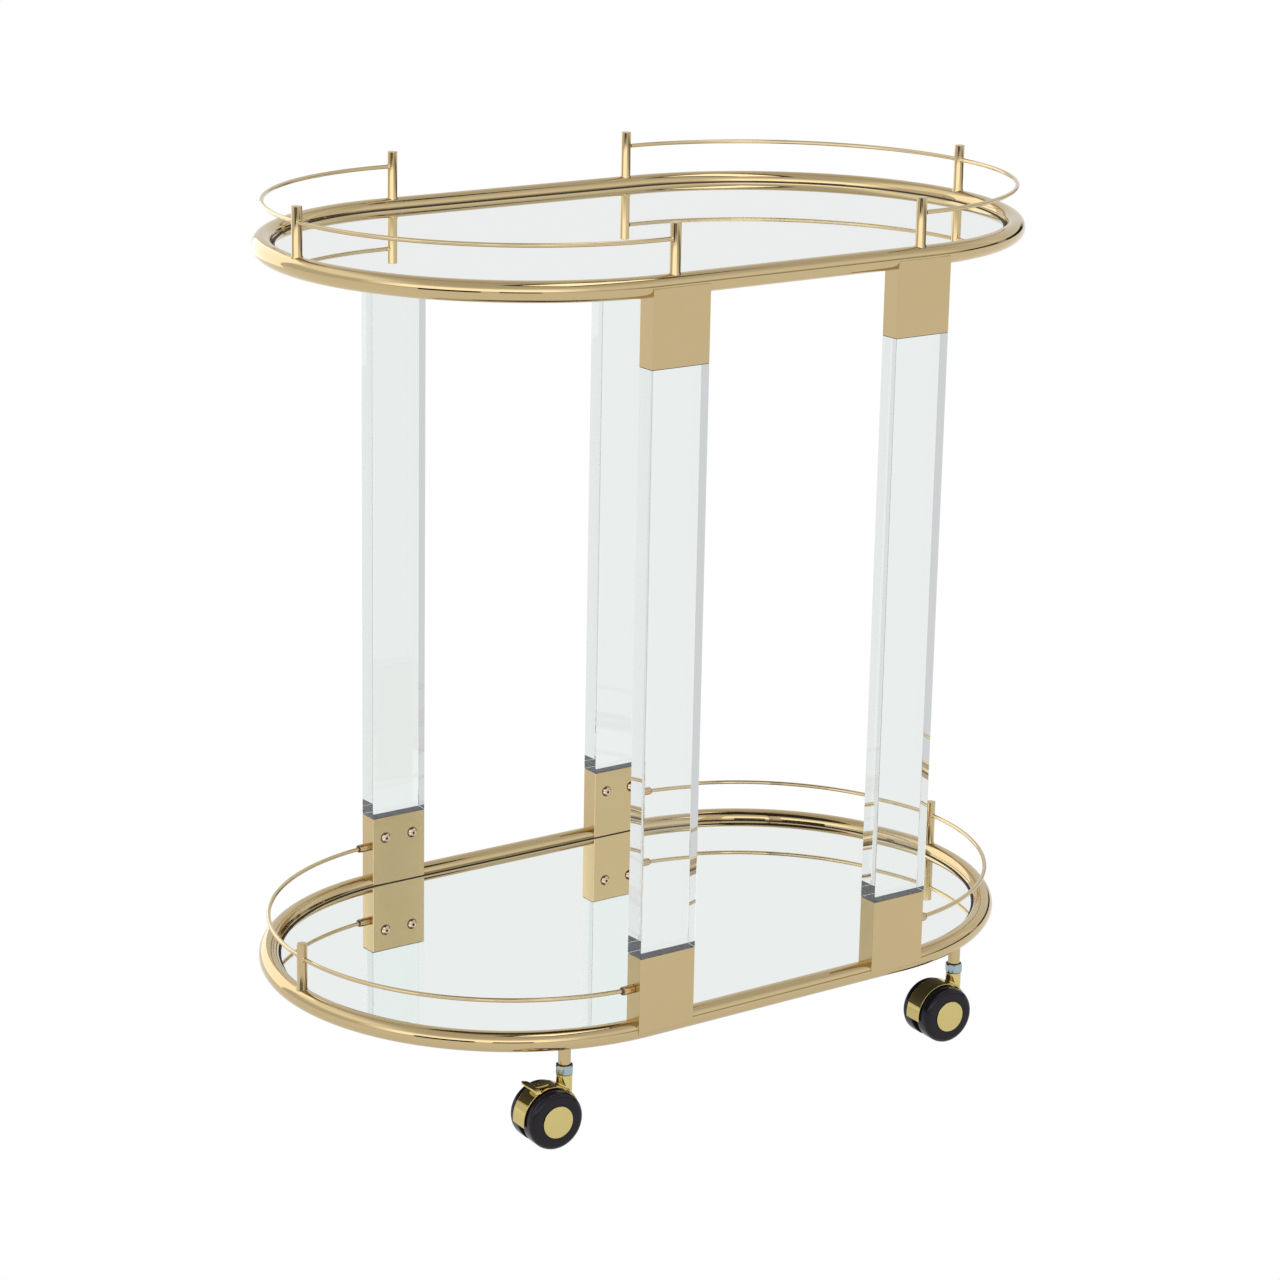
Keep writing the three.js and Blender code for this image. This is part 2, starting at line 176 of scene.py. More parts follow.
# the brake lever in millimetres: its plate and tongue as (x, y, z, half width) along each, and
# its web and blade as their low and high corners
LEVER_PLATE = ((-37.2, 10.6, 58.2, 0.8), (-35.6, 8.6, 57.8, 2.9), (-34.8, 4.0, 57.2, 3.6),
               (-34.4, -3.0, 57.0, 3.5), (-34.0, -7.0, 56.6, 3.2), (-33.4, -9.8, 55.6, 3.0),
               (-33.0, -11.4, 53.4, 2.7))
LEVER_TONGUE = ((-33.0, -3.6, 57.1, 2.6), (-29.0, -4.0, 57.1, 2.2), (-24.0, -4.2, 57.3, 1.9),
                (-20.0, -4.2, 57.7, 1.7))
LEVER_WEB = ((-35.5, -4.6, 55.4), (-26.0, 1.6, 57.0))
LEVER_BLADE = ((-26.2, -1.6, 45.3), (-22.0, 1.6, 57.6))

FULL_TURN = 2 * math.pi
TUBE_SIDES = 40
BEND_STEPS = 96
TURNED_SIDES = 96

# ---------------------------------------------------------------- studio values
# camera, in metres and millimetres of lens
CAMERA_PLACE = (-1.9242, -2.6469, 1.3260)
CAMERA_AIM = (0, 0, 0.377)
CAMERA_ROLL = math.radians(1.147)
CAMERA_LENS = 101.3
CAMERA_SENSOR = 36
CAMERA_REACH = 60

# softbox overhead, with its black frame
SOFTBOX_PLACE = (0.4, -0.6, 3.2)
SOFTBOX_AIM = (0, 0, 0.3)
SOFTBOX_SIZE = (1.9, 0.8)
SOFTBOX_BORDER = 0.24
SOFTBOX_POWER = 7

# cards that only reflections show: name, degrees round from behind, how far away, (width,
# height), height of the lower edge and glow
CARDS = (("bright_back_card", 10, 3.0, (2.4, 2.8), 0.0, 1.75),
         ("dark_left_card", 118, 5.0, (2.3, 1.1), 0.15, 0.0),
         ("dark_front_card", 147, 5.0, (1.5, 0.8), 0.3, 0.0))

# floor
FLOOR_HALF = 30.0
FLOOR_GREY = (0.3, 0.3, 0.3)
FLOOR_GLOW = (0.73, 0.73, 0.73)
FLOOR_ROUGHNESS = 0.9
BLACK_PAPER = (0, 0, 0)
PAPER_WHITE = (1.0, 1.0, 1.0)
# what the acrylic shows behind it, as painted shade on the floor and room: straight through, and by
# way of its narrow faces
THROUGH_WHITE = (0.83, 0.865, 0.855)
NEAR_GREY = (0.73, 0.74, 0.72)
SIDE_GREY = (0.61, 0.62, 0.63)
NEAR_FROM_Y = (-0.25, -0.45)
SIDE_FROM_X = (-0.1, -0.35)

# how bright the room is against the upward part of a direction, as (part, level)
FRONT_LEVELS = ((0.0, 0.85), (0.02, 0.75), (0.15, 0.75), (0.24, 1.06), (0.4, 1.06), (0.6, 0.95),
                (0.75, 0.72), (1.0, 0.68))
BRIGHT_FRONT_LEVELS = ((0.0, 0.75), (0.09, 0.8), (0.13, 1.9), (0.42, 1.9), (0.58, 0.9),
                       (0.75, 0.72), (1.0, 0.68))
DARK_FRONT_LEVELS = ((0.0, 0.7), (0.01, 0.3), (0.06, 0.3), (0.09, 0.62), (0.16, 0.66),
                     (0.24, 1.06), (0.4, 1.06), (0.6, 0.95), (0.75, 0.72), (1.0, 0.68))
BACK_LEVELS = ((0.0, 0.8), (0.05, 0.86), (0.5, 0.86), (0.8, 0.7), (1.0, 0.68))
BACK_LEFT_LEVELS = ((0.0, 0.8), (0.05, 0.8), (0.34, 0.8), (0.5, 1.3), (0.72, 1.3), (0.86, 0.75),
                    (1.0, 0.68))
RIGHT_LEVELS = ((0.0, 0.7), (0.008, 0.012), (0.125, 0.012), (0.15, 0.86), (0.5, 0.86), (0.8, 0.6),
                (1.0, 0.58))
# where the dark strip on the right is broken, against (Y + 1) / 2
RIGHT_BREAKS = ((0.2, 0.0), (0.25, 1.0), (0.44, 1.0), (0.46, 0.1), (0.51, 0.1), (0.53, 1.0),
                (0.74, 1.0), (0.8, 0.0))
# where one part of the room turns into the next, as X or Y of a direction
BRIGHT_FRONT_FROM_X = (0.05, -0.3)
DARK_FRONT_FROM_X = (0.2, 0.4)
BACK_FROM_Y = (-0.1, 0.25)
BACK_LEFT_FROM_X = (0.0, -0.3)
RIGHT_FROM_X = (0.55, 0.72)


# ---------------------------------------------------------------- node trees
def join(tree, socket, value):
    """Links a socket to an input, or sets the input's own value."""
    if isinstance(value, bpy.types.NodeSocket):
        tree.links.new(value, socket)
    else:
        socket.default_value = value


def put(tree, kind, inputs=None, **settings):
    """Adds a node with its settings and inputs."""
    node = tree.nodes.new(kind)
    for name, value in settings.items():
        setattr(node, name, value)
    for key, value in (inputs or {}).items():
        join(tree, node.inputs[key], value)
    return node


def maths(tree, operation, first, second=0.0, third=0.0):
    """The result of one sum, on sockets or plain numbers."""
    node = put(tree, "ShaderNodeMath", {0: first, 1: second, 2: third}, operation=operation)
    return node.outputs[0]


def shade(colour):
    """A colour with its alpha, or the socket that gives one."""
    return colour if isinstance(colour, bpy.types.NodeSocket) else (*colour, 1.0)


def mixed(tree, share, first, second):
    """A colour between two, by a share."""
    node = put(tree, "ShaderNodeMix", {0: share, 6: shade(first), 7: shade(second)},
               data_type="RGBA")
    return node.outputs[2]


def between(tree, value, low, high):
    """How far a value has gone from low to high, kept within 0 and 1."""
    return put(tree, "ShaderNodeMapRange",
               {"Value": value, "From Min": low, "From Max": high}).outputs[0]


def levels(tree, value, stops):
    """A grey that follows a value through (position, level) stops."""
    ramp = put(tree, "ShaderNodeValToRGB", {0: value})
    line = ramp.color_ramp
    while len(line.elements) < len(stops):
        line.elements.new(0.5)
    for element, (position, level) in zip(line.elements, stops):
        element.position = position
        element.color = shade((level, level, level))
    return ramp.outputs[0]


def new_group(name, kind, inputs, outputs):
    """A node group, its input sockets by name, and its output node."""
    tree = bpy.data.node_groups.new(name, kind)
    for label, socket, value in inputs:
        made = tree.interface.new_socket(
            label, in_out="INPUT", socket_type=f"NodeSocket{socket}")
        if value is not None:
            made.default_value = value
    for label, socket in outputs:
        tree.interface.new_socket(label, in_out="OUTPUT", socket_type=f"NodeSocket{socket}")
    source = tree.nodes.new("NodeGroupInput")
    result = tree.nodes.new("NodeGroupOutput")
    return tree, {label: source.outputs[label] for label, _, _ in inputs}, result


# ---------------------------------------------------------------- shader groups
def soft_noise(tree, place, scale, detail=3.0, roughness=0.5):
    """Cloudy noise from 0 to 1."""
    node = put(tree, "ShaderNodeTexNoise",
               {"Vector": place, "Scale": scale, "Detail": detail, "Roughness": roughness})
    return node.outputs["Fac"]


def spread_about(tree, mask, centre, spread):
    """A value that runs from centre - spread to centre + spread with a 0 to 1 mask."""
    swing = maths(tree, "MULTIPLY_ADD", mask, 2.0, -1.0)
    return maths(tree, "MULTIPLY_ADD", swing, spread, centre)


def plating_group():
    """Plated metal: slow shifts of tone and polish, with a faint orange-peel height."""
    tree, given, result = new_group(
        "plating", "ShaderNodeTree",
        [("Colour", "Color", (0.6, 0.5, 0.3, 1)), ("Deep Colour", "Color", (0.5, 0.4, 0.2, 1)),
         ("Tone Shift", "Float", 0.3), ("Roughness", "Float", 0.1),
         ("Polish Shift", "Float", 0.02), ("Cloud Scale", "Float", 14.0),
         ("Peel Scale", "Float", 420.0)],
        [("Colour", "Color"), ("Roughness", "Float"), ("Height", "Float")])
    place = put(tree, "ShaderNodeTexCoord").outputs["Object"]
    cloud = soft_noise(tree, place, given["Cloud Scale"])
    tone = maths(tree, "MULTIPLY", cloud, given["Tone Shift"])
    colour = mixed(tree, tone, given["Colour"], given["Deep Colour"])
    finer = maths(tree, "MULTIPLY", given["Cloud Scale"], 4.3)
    polish = soft_noise(tree, place, finer, 4.0, 0.6)
    roughness = spread_about(tree, polish, given["Roughness"], given["Polish Shift"])
    peel = soft_noise(tree, place, given["Peel Scale"], 2.0)
    join(tree, result.inputs["Colour"], colour)
    join(tree, result.inputs["Roughness"], roughness)
    join(tree, result.inputs["Height"], peel)
    return tree


def dust_group():
    """Fine dust: settles on faces that look up, broken into specks and drifts."""
    tree, given, result = new_group(
        "dust", "ShaderNodeTree",
        [("Amount", "Float", 0.1), ("Speck Scale", "Float", 900.0), ("Drift Scale", "Float", 9.0)],
        [("Mask", "Float")])
    place = put(tree, "ShaderNodeTexCoord").outputs["Object"]
    facing = put(tree, "ShaderNodeNewGeometry").outputs["Normal"]
    upward = put(tree, "ShaderNodeSeparateXYZ", {0: facing}).outputs["Z"]
    settles = between(tree, upward, 0.2, 1.0)
    specks = between(tree, soft_noise(tree, place, given["Speck Scale"], 2.0, 0.7), 0.56, 0.74)
    drifts = between(tree, soft_noise(tree, place, given["Drift Scale"], 4.0, 0.6), 0.35, 0.75)
    both = maths(tree, "MULTIPLY", specks, drifts)
    settled = maths(tree, "MULTIPLY", both, settles)
    join(tree, result.inputs["Mask"], maths(tree, "MULTIPLY", settled, given["Amount"]))
    return tree


def smudge_group():
    """Broad wiping marks: long soft streaks, as a mask."""
    tree, given, result = new_group(
        "smudge", "ShaderNodeTree",
        [("Scale", "Float", 6.0), ("Stretch", "Float", 4.0), ("Amount", "Float", 1.0)],
        [("Mask", "Float")])
    place = put(tree, "ShaderNodeTexCoord").outputs["Object"]
    shape = put(tree, "ShaderNodeCombineXYZ", {0: 1.0, 1: given["Stretch"], 2: 1.0})
    turned = put(tree, "ShaderNodeVectorRotate", {"Vector": place, "Angle": 0.6})
    drawn = put(tree, "ShaderNodeVectorMath", {0: turned.outputs[0], 1: shape.outputs[0]},
                operation="MULTIPLY")
    streak = soft_noise(tree, drawn.outputs[0], given["Scale"], 5.0, 0.55)
    mask = between(tree, streak, 0.45, 0.7)
    join(tree, result.inputs["Mask"], maths(tree, "MULTIPLY", mask, given["Amount"]))
    return tree


PLATING = plating_group()
DUST = dust_group()
SMUDGE = smudge_group()


# ---------------------------------------------------------------- materials
SILVER = (0.955, 0.99, 0.98)
GLASS_GREEN = (0.18, 0.3, 0.25)
DUST_GREY = (0.3, 0.3, 0.3)
GOLD = (0.56, 0.437, 0.242)
DEEP_GOLD = (0.52, 0.395, 0.2)


def new_material(name):
    """A material with only its Principled shader and output."""
    material = bpy.data.materials.new(name)
    material.use_nodes = True
    return material, material.node_tree, material.node_tree.nodes["Principled BSDF"]


def use_group(tree, group, values):
    """A node that holds a shared group, with its own values."""
    node = tree.nodes.new("ShaderNodeGroup")
    node.node_tree = group
    for key, value in values.items():
        join(tree, node.inputs[key], value)
    return node


def bump(tree, height, strength, distance):
    """A normal bent by a height."""
    node = put(tree, "ShaderNodeBump",
               {"Height": height, "Strength": strength, "Distance": distance})
    return node.outputs["Normal"]


def plated(name, colour, deep, roughness, polish=0.02, tone=0.35, cloud=14.0, peel=0.03):
    """A plated metal: tone and polish drift over the surface."""
    material, tree, shader = new_material(name)
    metal = use_group(tree, PLATING, {
        "Colour": shade(colour), "Deep Colour": shade(deep), "Tone Shift": tone,
        "Roughness": roughness, "Polish Shift": polish, "Cloud Scale": cloud})
    dust = use_group(tree, DUST, {"Amount": 0.25})
    rough = maths(tree, "ADD", metal.outputs["Roughness"], dust.outputs["Mask"])
    join(tree, shader.inputs["Base Color"], metal.outputs["Colour"])
    join(tree, shader.inputs["Roughness"], rough)
    join(tree, shader.inputs["Normal"], bump(tree, metal.outputs["Height"], peel, 0.02 * MM))
    shader.inputs["Metallic"].default_value = 1.0
    return material


def mirror_glass():
    """Silvered glass: clear on its faces, green at its polished edge, lightly wiped."""
    material, tree, shader = new_material("mirror_glass")
    facing = put(tree, "ShaderNodeNewGeometry").outputs["Normal"]
    upward = put(tree, "ShaderNodeSeparateXYZ", {0: facing}).outputs["Z"]
    rim = between(tree, maths(tree, "ABSOLUTE", upward), 0.9, 0.6)
    tint = mixed(tree, rim, SILVER, GLASS_GREEN)
    wiped = use_group(tree, SMUDGE, {"Amount": 0.012})
    dust = use_group(tree, DUST, {"Amount": 0.12})
    marks = maths(tree, "ADD", wiped.outputs["Mask"], dust.outputs["Mask"])
    join(tree, shader.inputs["Base Color"], tint)
    join(tree, shader.inputs["Roughness"], maths(tree, "ADD", marks, 0.012))
    shader.inputs["Metallic"].default_value = 1.0
    return material


def clear_acrylic():
    """Cast acrylic bar: clear, faintly cool, with polished faces."""
    material, tree, shader = new_material("clear_acrylic")
    wiped = use_group(tree, SMUDGE, {"Scale": 11.0, "Amount": 0.01})
    join(tree, shader.inputs["Roughness"], wiped.outputs["Mask"])
    shader.inputs["Base Color"].default_value = shade((0.985, 0.99, 0.988))
    shader.inputs["Transmission Weight"].default_value = 1.0
    shader.inputs["IOR"].default_value = 1.49
    return material


def glossy_black():
    """Moulded nylon, nearly black, with a soft skin and a little floor dust."""
    material, tree, shader = new_material("glossy_black")
    skin = use_group(tree, PLATING, {
        "Colour": shade((0.009, 0.007, 0.011)), "Deep Colour": shade((0.014, 0.011, 0.017)),
        "Roughness": 0.16, "Polish Shift": 0.05, "Cloud Scale": 60.0, "Peel Scale": 900.0})
    dust = use_group(tree, DUST, {"Amount": 0.3, "Drift Scale": 40.0})
    greyed = mixed(tree, dust.outputs["Mask"], skin.outputs["Colour"], DUST_GREY)
    join(tree, shader.inputs["Base Color"], greyed)
    join(tree, shader.inputs["Roughness"], skin.outputs["Roughness"])
    join(tree, shader.inputs["Normal"], bump(tree, skin.outputs["Height"], 0.15, 0.03 * MM))
    shader.inputs["Specular IOR Level"].default_value = 0.22
    return material


def black_board():
    """Painted hardboard: matt black with a pressed fibre grain."""
    material, tree, shader = new_material("black_board")
    skin = use_group(tree, PLATING, {
        "Colour": shade((0.012, 0.012, 0.012)), "Deep Colour": shade((0.03, 0.028, 0.026)),
        "Tone Shift": 0.8, "Roughness": 0.6, "Polish Shift": 0.15, "Cloud Scale": 90.0,
        "Peel Scale": 1400.0})
    join(tree, shader.inputs["Base Color"], skin.outputs["Colour"])
    join(tree, shader.inputs["Roughness"], skin.outputs["Roughness"])
    join(tree, shader.inputs["Normal"], bump(tree, skin.outputs["Height"], 0.6, 0.1 * MM))
    return material


def dark_recess(name, colour):
    """Painted shade for unlit insides and contact lines: the unlit inside of a socket and of a
    sleeve's mouth, a screw's seat and a ferrule's lip.
    """
    material, tree, shader = new_material(name)
    skin = use_group(tree, PLATING, {
        "Colour": shade(colour), "Deep Colour": shade([c * 0.6 for c in colour]),
        "Roughness": 0.5, "Polish Shift": 0.1, "Cloud Scale": 120.0})
    join(tree, shader.inputs["Base Color"], skin.outputs["Colour"])
    join(tree, shader.inputs["Roughness"], skin.outputs["Roughness"])
    return material


TUBE_GOLD = plated("tube_gold", GOLD, DEEP_GOLD, 0.05, polish=0.012, peel=0.012)
SLEEVE_GOLD = plated("sleeve_gold", GOLD, DEEP_GOLD, 0.17, polish=0.03, cloud=22.0)
POST_GOLD = plated("post_gold", GOLD, DEEP_GOLD, 0.07, cloud=30.0, peel=0.012)
RAIL_GOLD = plated("rail_gold", (0.62, 0.50, 0.30), DEEP_GOLD, 0.08, cloud=25.0, peel=0.012)
FERRULE_GOLD = plated("ferrule_gold", (0.58, 0.42, 0.24), (0.5, 0.35, 0.17), 0.1, cloud=60.0)
SCREW_GOLD = plated("screw_gold", (0.74, 0.55, 0.44), (0.62, 0.44, 0.30), 0.16, cloud=80.0)
HOOD_BRASS = plated("hood_brass", (0.66, 0.54, 0.22), (0.6, 0.45, 0.14), 0.05, cloud=60.0, peel=0.02)
CAP_BRASS = plated("cap_brass", (0.63, 0.53, 0.22), (0.58, 0.47, 0.17), 0.26, cloud=50.0)
ZINC = plated("collar_zinc", (0.30, 0.41, 0.47), (0.46, 0.52, 0.56), 0.16, tone=0.8, cloud=120.0)
STEEL = plated("axle_steel", (0.5, 0.5, 0.5), (0.4, 0.4, 0.4), 0.3, cloud=60.0)
MIRROR = mirror_glass()
ACRYLIC = clear_acrylic()
BLACK = glossy_black()
BOARD = black_board()
# the dark land in each sleeve's mouth: painted shade
MOUTH_SHADE = dark_recess("mouth_painted_shade", (0.09, 0.09, 0.12))
# painted shade for sockets, the screws' contact rings and the ferrules' lips
PAINTED_SHADOW = dark_recess("socket_shadow", (0.11, 0.07, 0.04))


# ---------------------------------------------------------------- mesh code
def mesh_object(name, shape, materials, sharp_from=32):
    """Turns a bmesh into an object, smooth except across edges past an angle in degrees."""
    mesh = bpy.data.meshes.new(name)
    shape.to_mesh(mesh)
    shape.free()
    for material in materials:
        mesh.materials.append(material)
    mesh.shade_smooth()
    mesh.set_sharp_from_angle(angle=math.radians(sharp_from))
    piece = bpy.data.objects.new(name, mesh)
    bpy.context.scene.collection.objects.link(piece)
    return piece


def settle(piece, body, nodes=()):
    """Says which body a piece rides on and what it stands for."""
    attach(piece, body)
    if nodes:
        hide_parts(*nodes)
    return piece


def eased(corners, steps=5):
    """A line through corners (x, y, rounding), each rounding made an arc."""
    points = []
    for i, (x, y, rounding) in enumerate(corners):
        here = Vector((x, y))
        if not rounding:
            points.append((x, y))
            continue
        before = (Vector(corners[i - 1][:2]) - here).normalized()
        after = (Vector(corners[(i + 1) % len(corners)][:2]) - here).normalized()
        half = before.angle(after) / 2
        centre = here + (before + after).normalized() * (rounding / math.sin(half))
        start = here + before * (rounding / math.tan(half)) - centre
        end = here + after * (rounding / math.tan(half)) - centre
        for step in range(steps + 1):
            points.append(tuple(centre + start.slerp(end, step / steps) * rounding))
    return points


def add_rings(shape, rings, closed=False, material=0):
    """Skins rings of points in order. A ring of one point is a pole."""
    rows = [[shape.verts.new(point) for point in ring] for ring in rings]
    pairs = list(zip(rows, rows[1:]))
    if closed:
        pairs.append((rows[-1], rows[0]))
    count = max(len(row) for row in rows)
    for lower, upper in pairs:
        for i in range(count):
            j = i + 1
            corners = [lower[i % len(lower)], lower[j % len(lower)],
                       upper[j % len(upper)], upper[i % len(upper)]]
            face = shape.faces.new(list(dict.fromkeys(corners)))
            face.material_index = material
    return rows


def circle(radius, height, sides):
    """A ring of points round Z, or one point where the radius is nothing."""
    if radius < 1e-9:
        return [(0, 0, height)]
    angles = [FULL_TURN * i / sides for i in range(sides)]
    return [(radius * math.cos(a), radius * math.sin(a), height) for a in angles]


def turned(profile, sides=64, closed=False, material=0, shape=None):
    """A turned solid round Z from (radius, height) points, lowest first on its outside."""
    shape = shape or bmesh.new()
    add_rings(shape, [circle(r, z, sides) for r, z in profile], closed, material)
    return shape


def rounded_box(low, high, rounding, steps=3, shape=None, material=0):
    """A box with rounded edges, from rings of rounded rectangles."""
    shape = shape or bmesh.new()
    box = bmesh.ops.create_cube(shape, size=1)
    size = Vector(high) - Vector(low)
    place = Matrix.Translation((Vector(high) + Vector(low)) / 2) @ Matrix.Diagonal((*size, 1))
    bmesh.ops.transform(shape, matrix=place, verts=box["verts"])
    edges = list({edge for vertex in box["verts"] for edge in vertex.link_edges})
    faces = list({face for vertex in box["verts"] for face in vertex.link_faces})
    for face in faces:
        face.material_index = material
    if rounding:
        bmesh.ops.bevel(shape, geom=edges, offset=rounding, segments=steps, profile=0.5,
                        affect="EDGES", material=material)
    return shape


def weigh_normals(piece):
    """Lets big flat faces set the normals, so they stay flat beside rounded edges."""
    modifier = piece.modifiers.new("flat_faces", "WEIGHTED_NORMAL")
    modifier.keep_sharp = True
    bake_modifiers(piece)


def bake_modifiers(piece):
    """Makes the evaluated mesh the piece's own."""
    graph = bpy.context.evaluated_depsgraph_get()
    mesh = bpy.data.meshes.new_from_object(piece.evaluated_get(graph))
    piece.modifiers.clear()
    piece.data = mesh


def oval_ring(radius, z):
    """Points round an oval that shares the rims' bends."""
    points = []
    for side in (1, -1):
        for step in range(BEND_STEPS + 1):
            angle = side * -math.pi / 2 + math.pi * step / BEND_STEPS
            points.append((side * BEND_X + radius * math.cos(angle), radius * math.sin(angle), z))
    return points


def oval_plate(radius, thickness, top, edge):
    """A flat oval plate with its edges eased."""
    shape = bmesh.new()
    bottom = top - thickness
    rows = add_rings(shape, [
        oval_ring(radius - edge, bottom), oval_ring(radius, bottom + edge),
        oval_ring(radius, top - edge), oval_ring(radius - edge, top)])
    shape.faces.new(list(reversed(rows[0])))
    shape.faces.new(rows[-1])
    return shape


# ---------------------------------------------------------------- geometry nodes
def grow(name, tree, values, host_mesh=None):
    """Runs a geometry tree once and keeps its mesh as a plain object."""
    mesh = host_mesh or bpy.data.meshes.new(name)
    piece = bpy.data.objects.new(name, mesh)
    bpy.context.scene.collection.objects.link(piece)
    modifier = piece.modifiers.new("grow", "NODES")
    modifier.node_group = tree
    keys = {item.name: item.identifier for item in tree.interface.items_tree
            if item.in_out == "INPUT"}
    for label, value in values.items():
        modifier[keys[label]] = value
    bake_modifiers(piece)
    return piece


def end_of_tree(tree, geometry, material, result):
    """Every geometry tree ends the same way: smooth, real, and with its first material set."""
    smooth = put(tree, "GeometryNodeSetShadeSmooth", {"Geometry": geometry})
    real = put(tree, "GeometryNodeRealizeInstances", {"Geometry": smooth.outputs[0]})
    first = put(tree, "GeometryNodeInputMaterialIndex").outputs[0]
    chosen = put(tree, "FunctionNodeCompare", {2: first, 3: 0}, data_type="INT",
                 operation="EQUAL")
    painted = put(tree, "GeometryNodeSetMaterial", {
        "Geometry": real.outputs[0], "Selection": chosen.outputs[0], "Material": material})
    join(tree, result.inputs["Geometry"], painted.outputs[0])


def bend_point_group():
    """The point at an angle round an end whose middle is at (Centre X, 0)."""
    tree, given, result = new_group(
        "bend_point", "GeometryNodeTree",
        [("Angle", "Float", 0.0), ("Centre X", "Float", 0.0), ("Radius", "Float", 0.1),
         ("Height", "Float", 0.0)],
        [("Point", "Vector")])
    x = maths(tree, "MULTIPLY_ADD", maths(tree, "COSINE", given["Angle"]), given["Radius"],
              given["Centre X"])
    y = maths(tree, "MULTIPLY", maths(tree, "SINE", given["Angle"]), given["Radius"])
    point = put(tree, "ShaderNodeCombineXYZ", {0: x, 1: y, 2: given["Height"]})
    join(tree, result.inputs["Point"], point.outputs[0])
    return tree


BEND_POINT = bend_point_group()


def bend_point(tree, angle, centre, radius, height):
    """Uses the bend point group in another tree."""
    node = tree.nodes.new("GeometryNodeGroup")
    node.node_tree = BEND_POINT
    for key, value in (("Angle", angle), ("Centre X", centre), ("Radius", radius),
                       ("Height", height)):
        join(tree, node.inputs[key], value)
    return node.outputs[0]


def sweep(tree, path, radius, sides, caps):
    """A round tube along a curve."""
    section = put(tree, "GeometryNodeCurvePrimitiveCircle",
                  {"Resolution": sides, "Radius": radius})
    return put(tree, "GeometryNodeCurveToMesh", {
        "Curve": path, "Profile Curve": section.outputs[0], "Fill Caps": caps}).outputs[0]


def oval_tube_tree():
    """A closed tube round the whole oval: two half turns joined by straights."""
    tree, given, result = new_group(
        "oval_tube", "GeometryNodeTree",
        [("Centre X", "Float", 0.1), ("Bend Radius", "Float", 0.2), ("Tube Radius", "Float", 0.01),
         ("Height", "Float", 0.0), ("Points Per Bend", "Int", 97), ("Sides", "Int", 40),
         ("Material", "Material", None)],
        [("Geometry", "Geometry")])
    per_bend = given["Points Per Bend"]
    ring = put(tree, "GeometryNodeCurvePrimitiveCircle",
               {"Resolution": maths(tree, "MULTIPLY", per_bend, 2.0)})
    index = put(tree, "GeometryNodeInputIndex").outputs[0]
    second = maths(tree, "FLOOR", maths(tree, "DIVIDE", index, per_bend))
    step = maths(tree, "DIVIDE", maths(tree, "MODULO", index, per_bend),
                 maths(tree, "SUBTRACT", per_bend, 1.0))
    turn = maths(tree, "MULTIPLY", maths(tree, "ADD", second, step), math.pi)
    angle = maths(tree, "SUBTRACT", turn, math.pi / 2)
    side = maths(tree, "MULTIPLY_ADD", second, -2.0, 1.0)
    point = bend_point(tree, angle, maths(tree, "MULTIPLY", side, given["Centre X"]),
                       given["Bend Radius"], given["Height"])
    path = put(tree, "GeometryNodeSetPosition", {"Geometry": ring.outputs[0], "Position": point})
    tube = sweep(tree, path.outputs[0], given["Tube Radius"], given["Sides"], False)
    end_of_tree(tree, tube, given["Material"], result)
    return tree


def gallery_rod_tree():
    """A rod round one end of the oval, with a straight or a cut-short bend at each side."""
    tree, given, result = new_group(
        "gallery_rod", "GeometryNodeTree",
        [("Side", "Float", 1.0), ("Centre X", "Float", 0.1), ("Bend Radius", "Float", 0.2),
         ("Straight", "Float", 0.0), ("Skipped Turn", "Float", 0.0), ("Height", "Float", 0.0),
         ("Rod Radius", "Float", 0.002), ("Points", "Int", 160), ("Sides", "Int", 20),
         ("Material", "Material", None)],
        [("Geometry", "Geometry")])
    line = put(tree, "GeometryNodeCurvePrimitiveLine")
    fine = put(tree, "GeometryNodeResampleCurve",
               {"Curve": line.outputs[0], "Count": given["Points"]})
    index = put(tree, "GeometryNodeInputIndex").outputs[0]
    share = maths(tree, "DIVIDE", index, maths(tree, "SUBTRACT", given["Points"], 1.0))
    turn = maths(tree, "MULTIPLY_ADD", given["Skipped Turn"], -2.0, math.pi)
    bend = maths(tree, "MULTIPLY", turn, given["Bend Radius"])
    whole = maths(tree, "MULTIPLY_ADD", given["Straight"], 2.0, bend)
    along = maths(tree, "SUBTRACT", maths(tree, "MULTIPLY", share, whole), given["Straight"])
    bent = maths(tree, "MAXIMUM", maths(tree, "MINIMUM", along, bend), 0.0)
    start = maths(tree, "SUBTRACT", given["Skipped Turn"], math.pi / 2)
    angle = maths(tree, "ADD", maths(tree, "DIVIDE", bent, given["Bend Radius"]), start)
    extra = maths(tree, "ABSOLUTE", maths(tree, "SUBTRACT", along, bent))
    centre = maths(tree, "SUBTRACT", given["Centre X"], extra)
    point = bend_point(tree, angle, centre, given["Bend Radius"], given["Height"])
    sided = put(tree, "ShaderNodeCombineXYZ", {0: given["Side"], 1: 1.0, 2: 1.0})
    placed = put(tree, "ShaderNodeVectorMath", {0: point, 1: sided.outputs[0]},
                 operation="MULTIPLY")
    path = put(tree, "GeometryNodeSetPosition",
               {"Geometry": fine.outputs[0], "Position": placed.outputs[0]})
    rod = sweep(tree, path.outputs[0], given["Rod Radius"], given["Sides"], True)
    end_of_tree(tree, rod, given["Material"], result)
    return tree


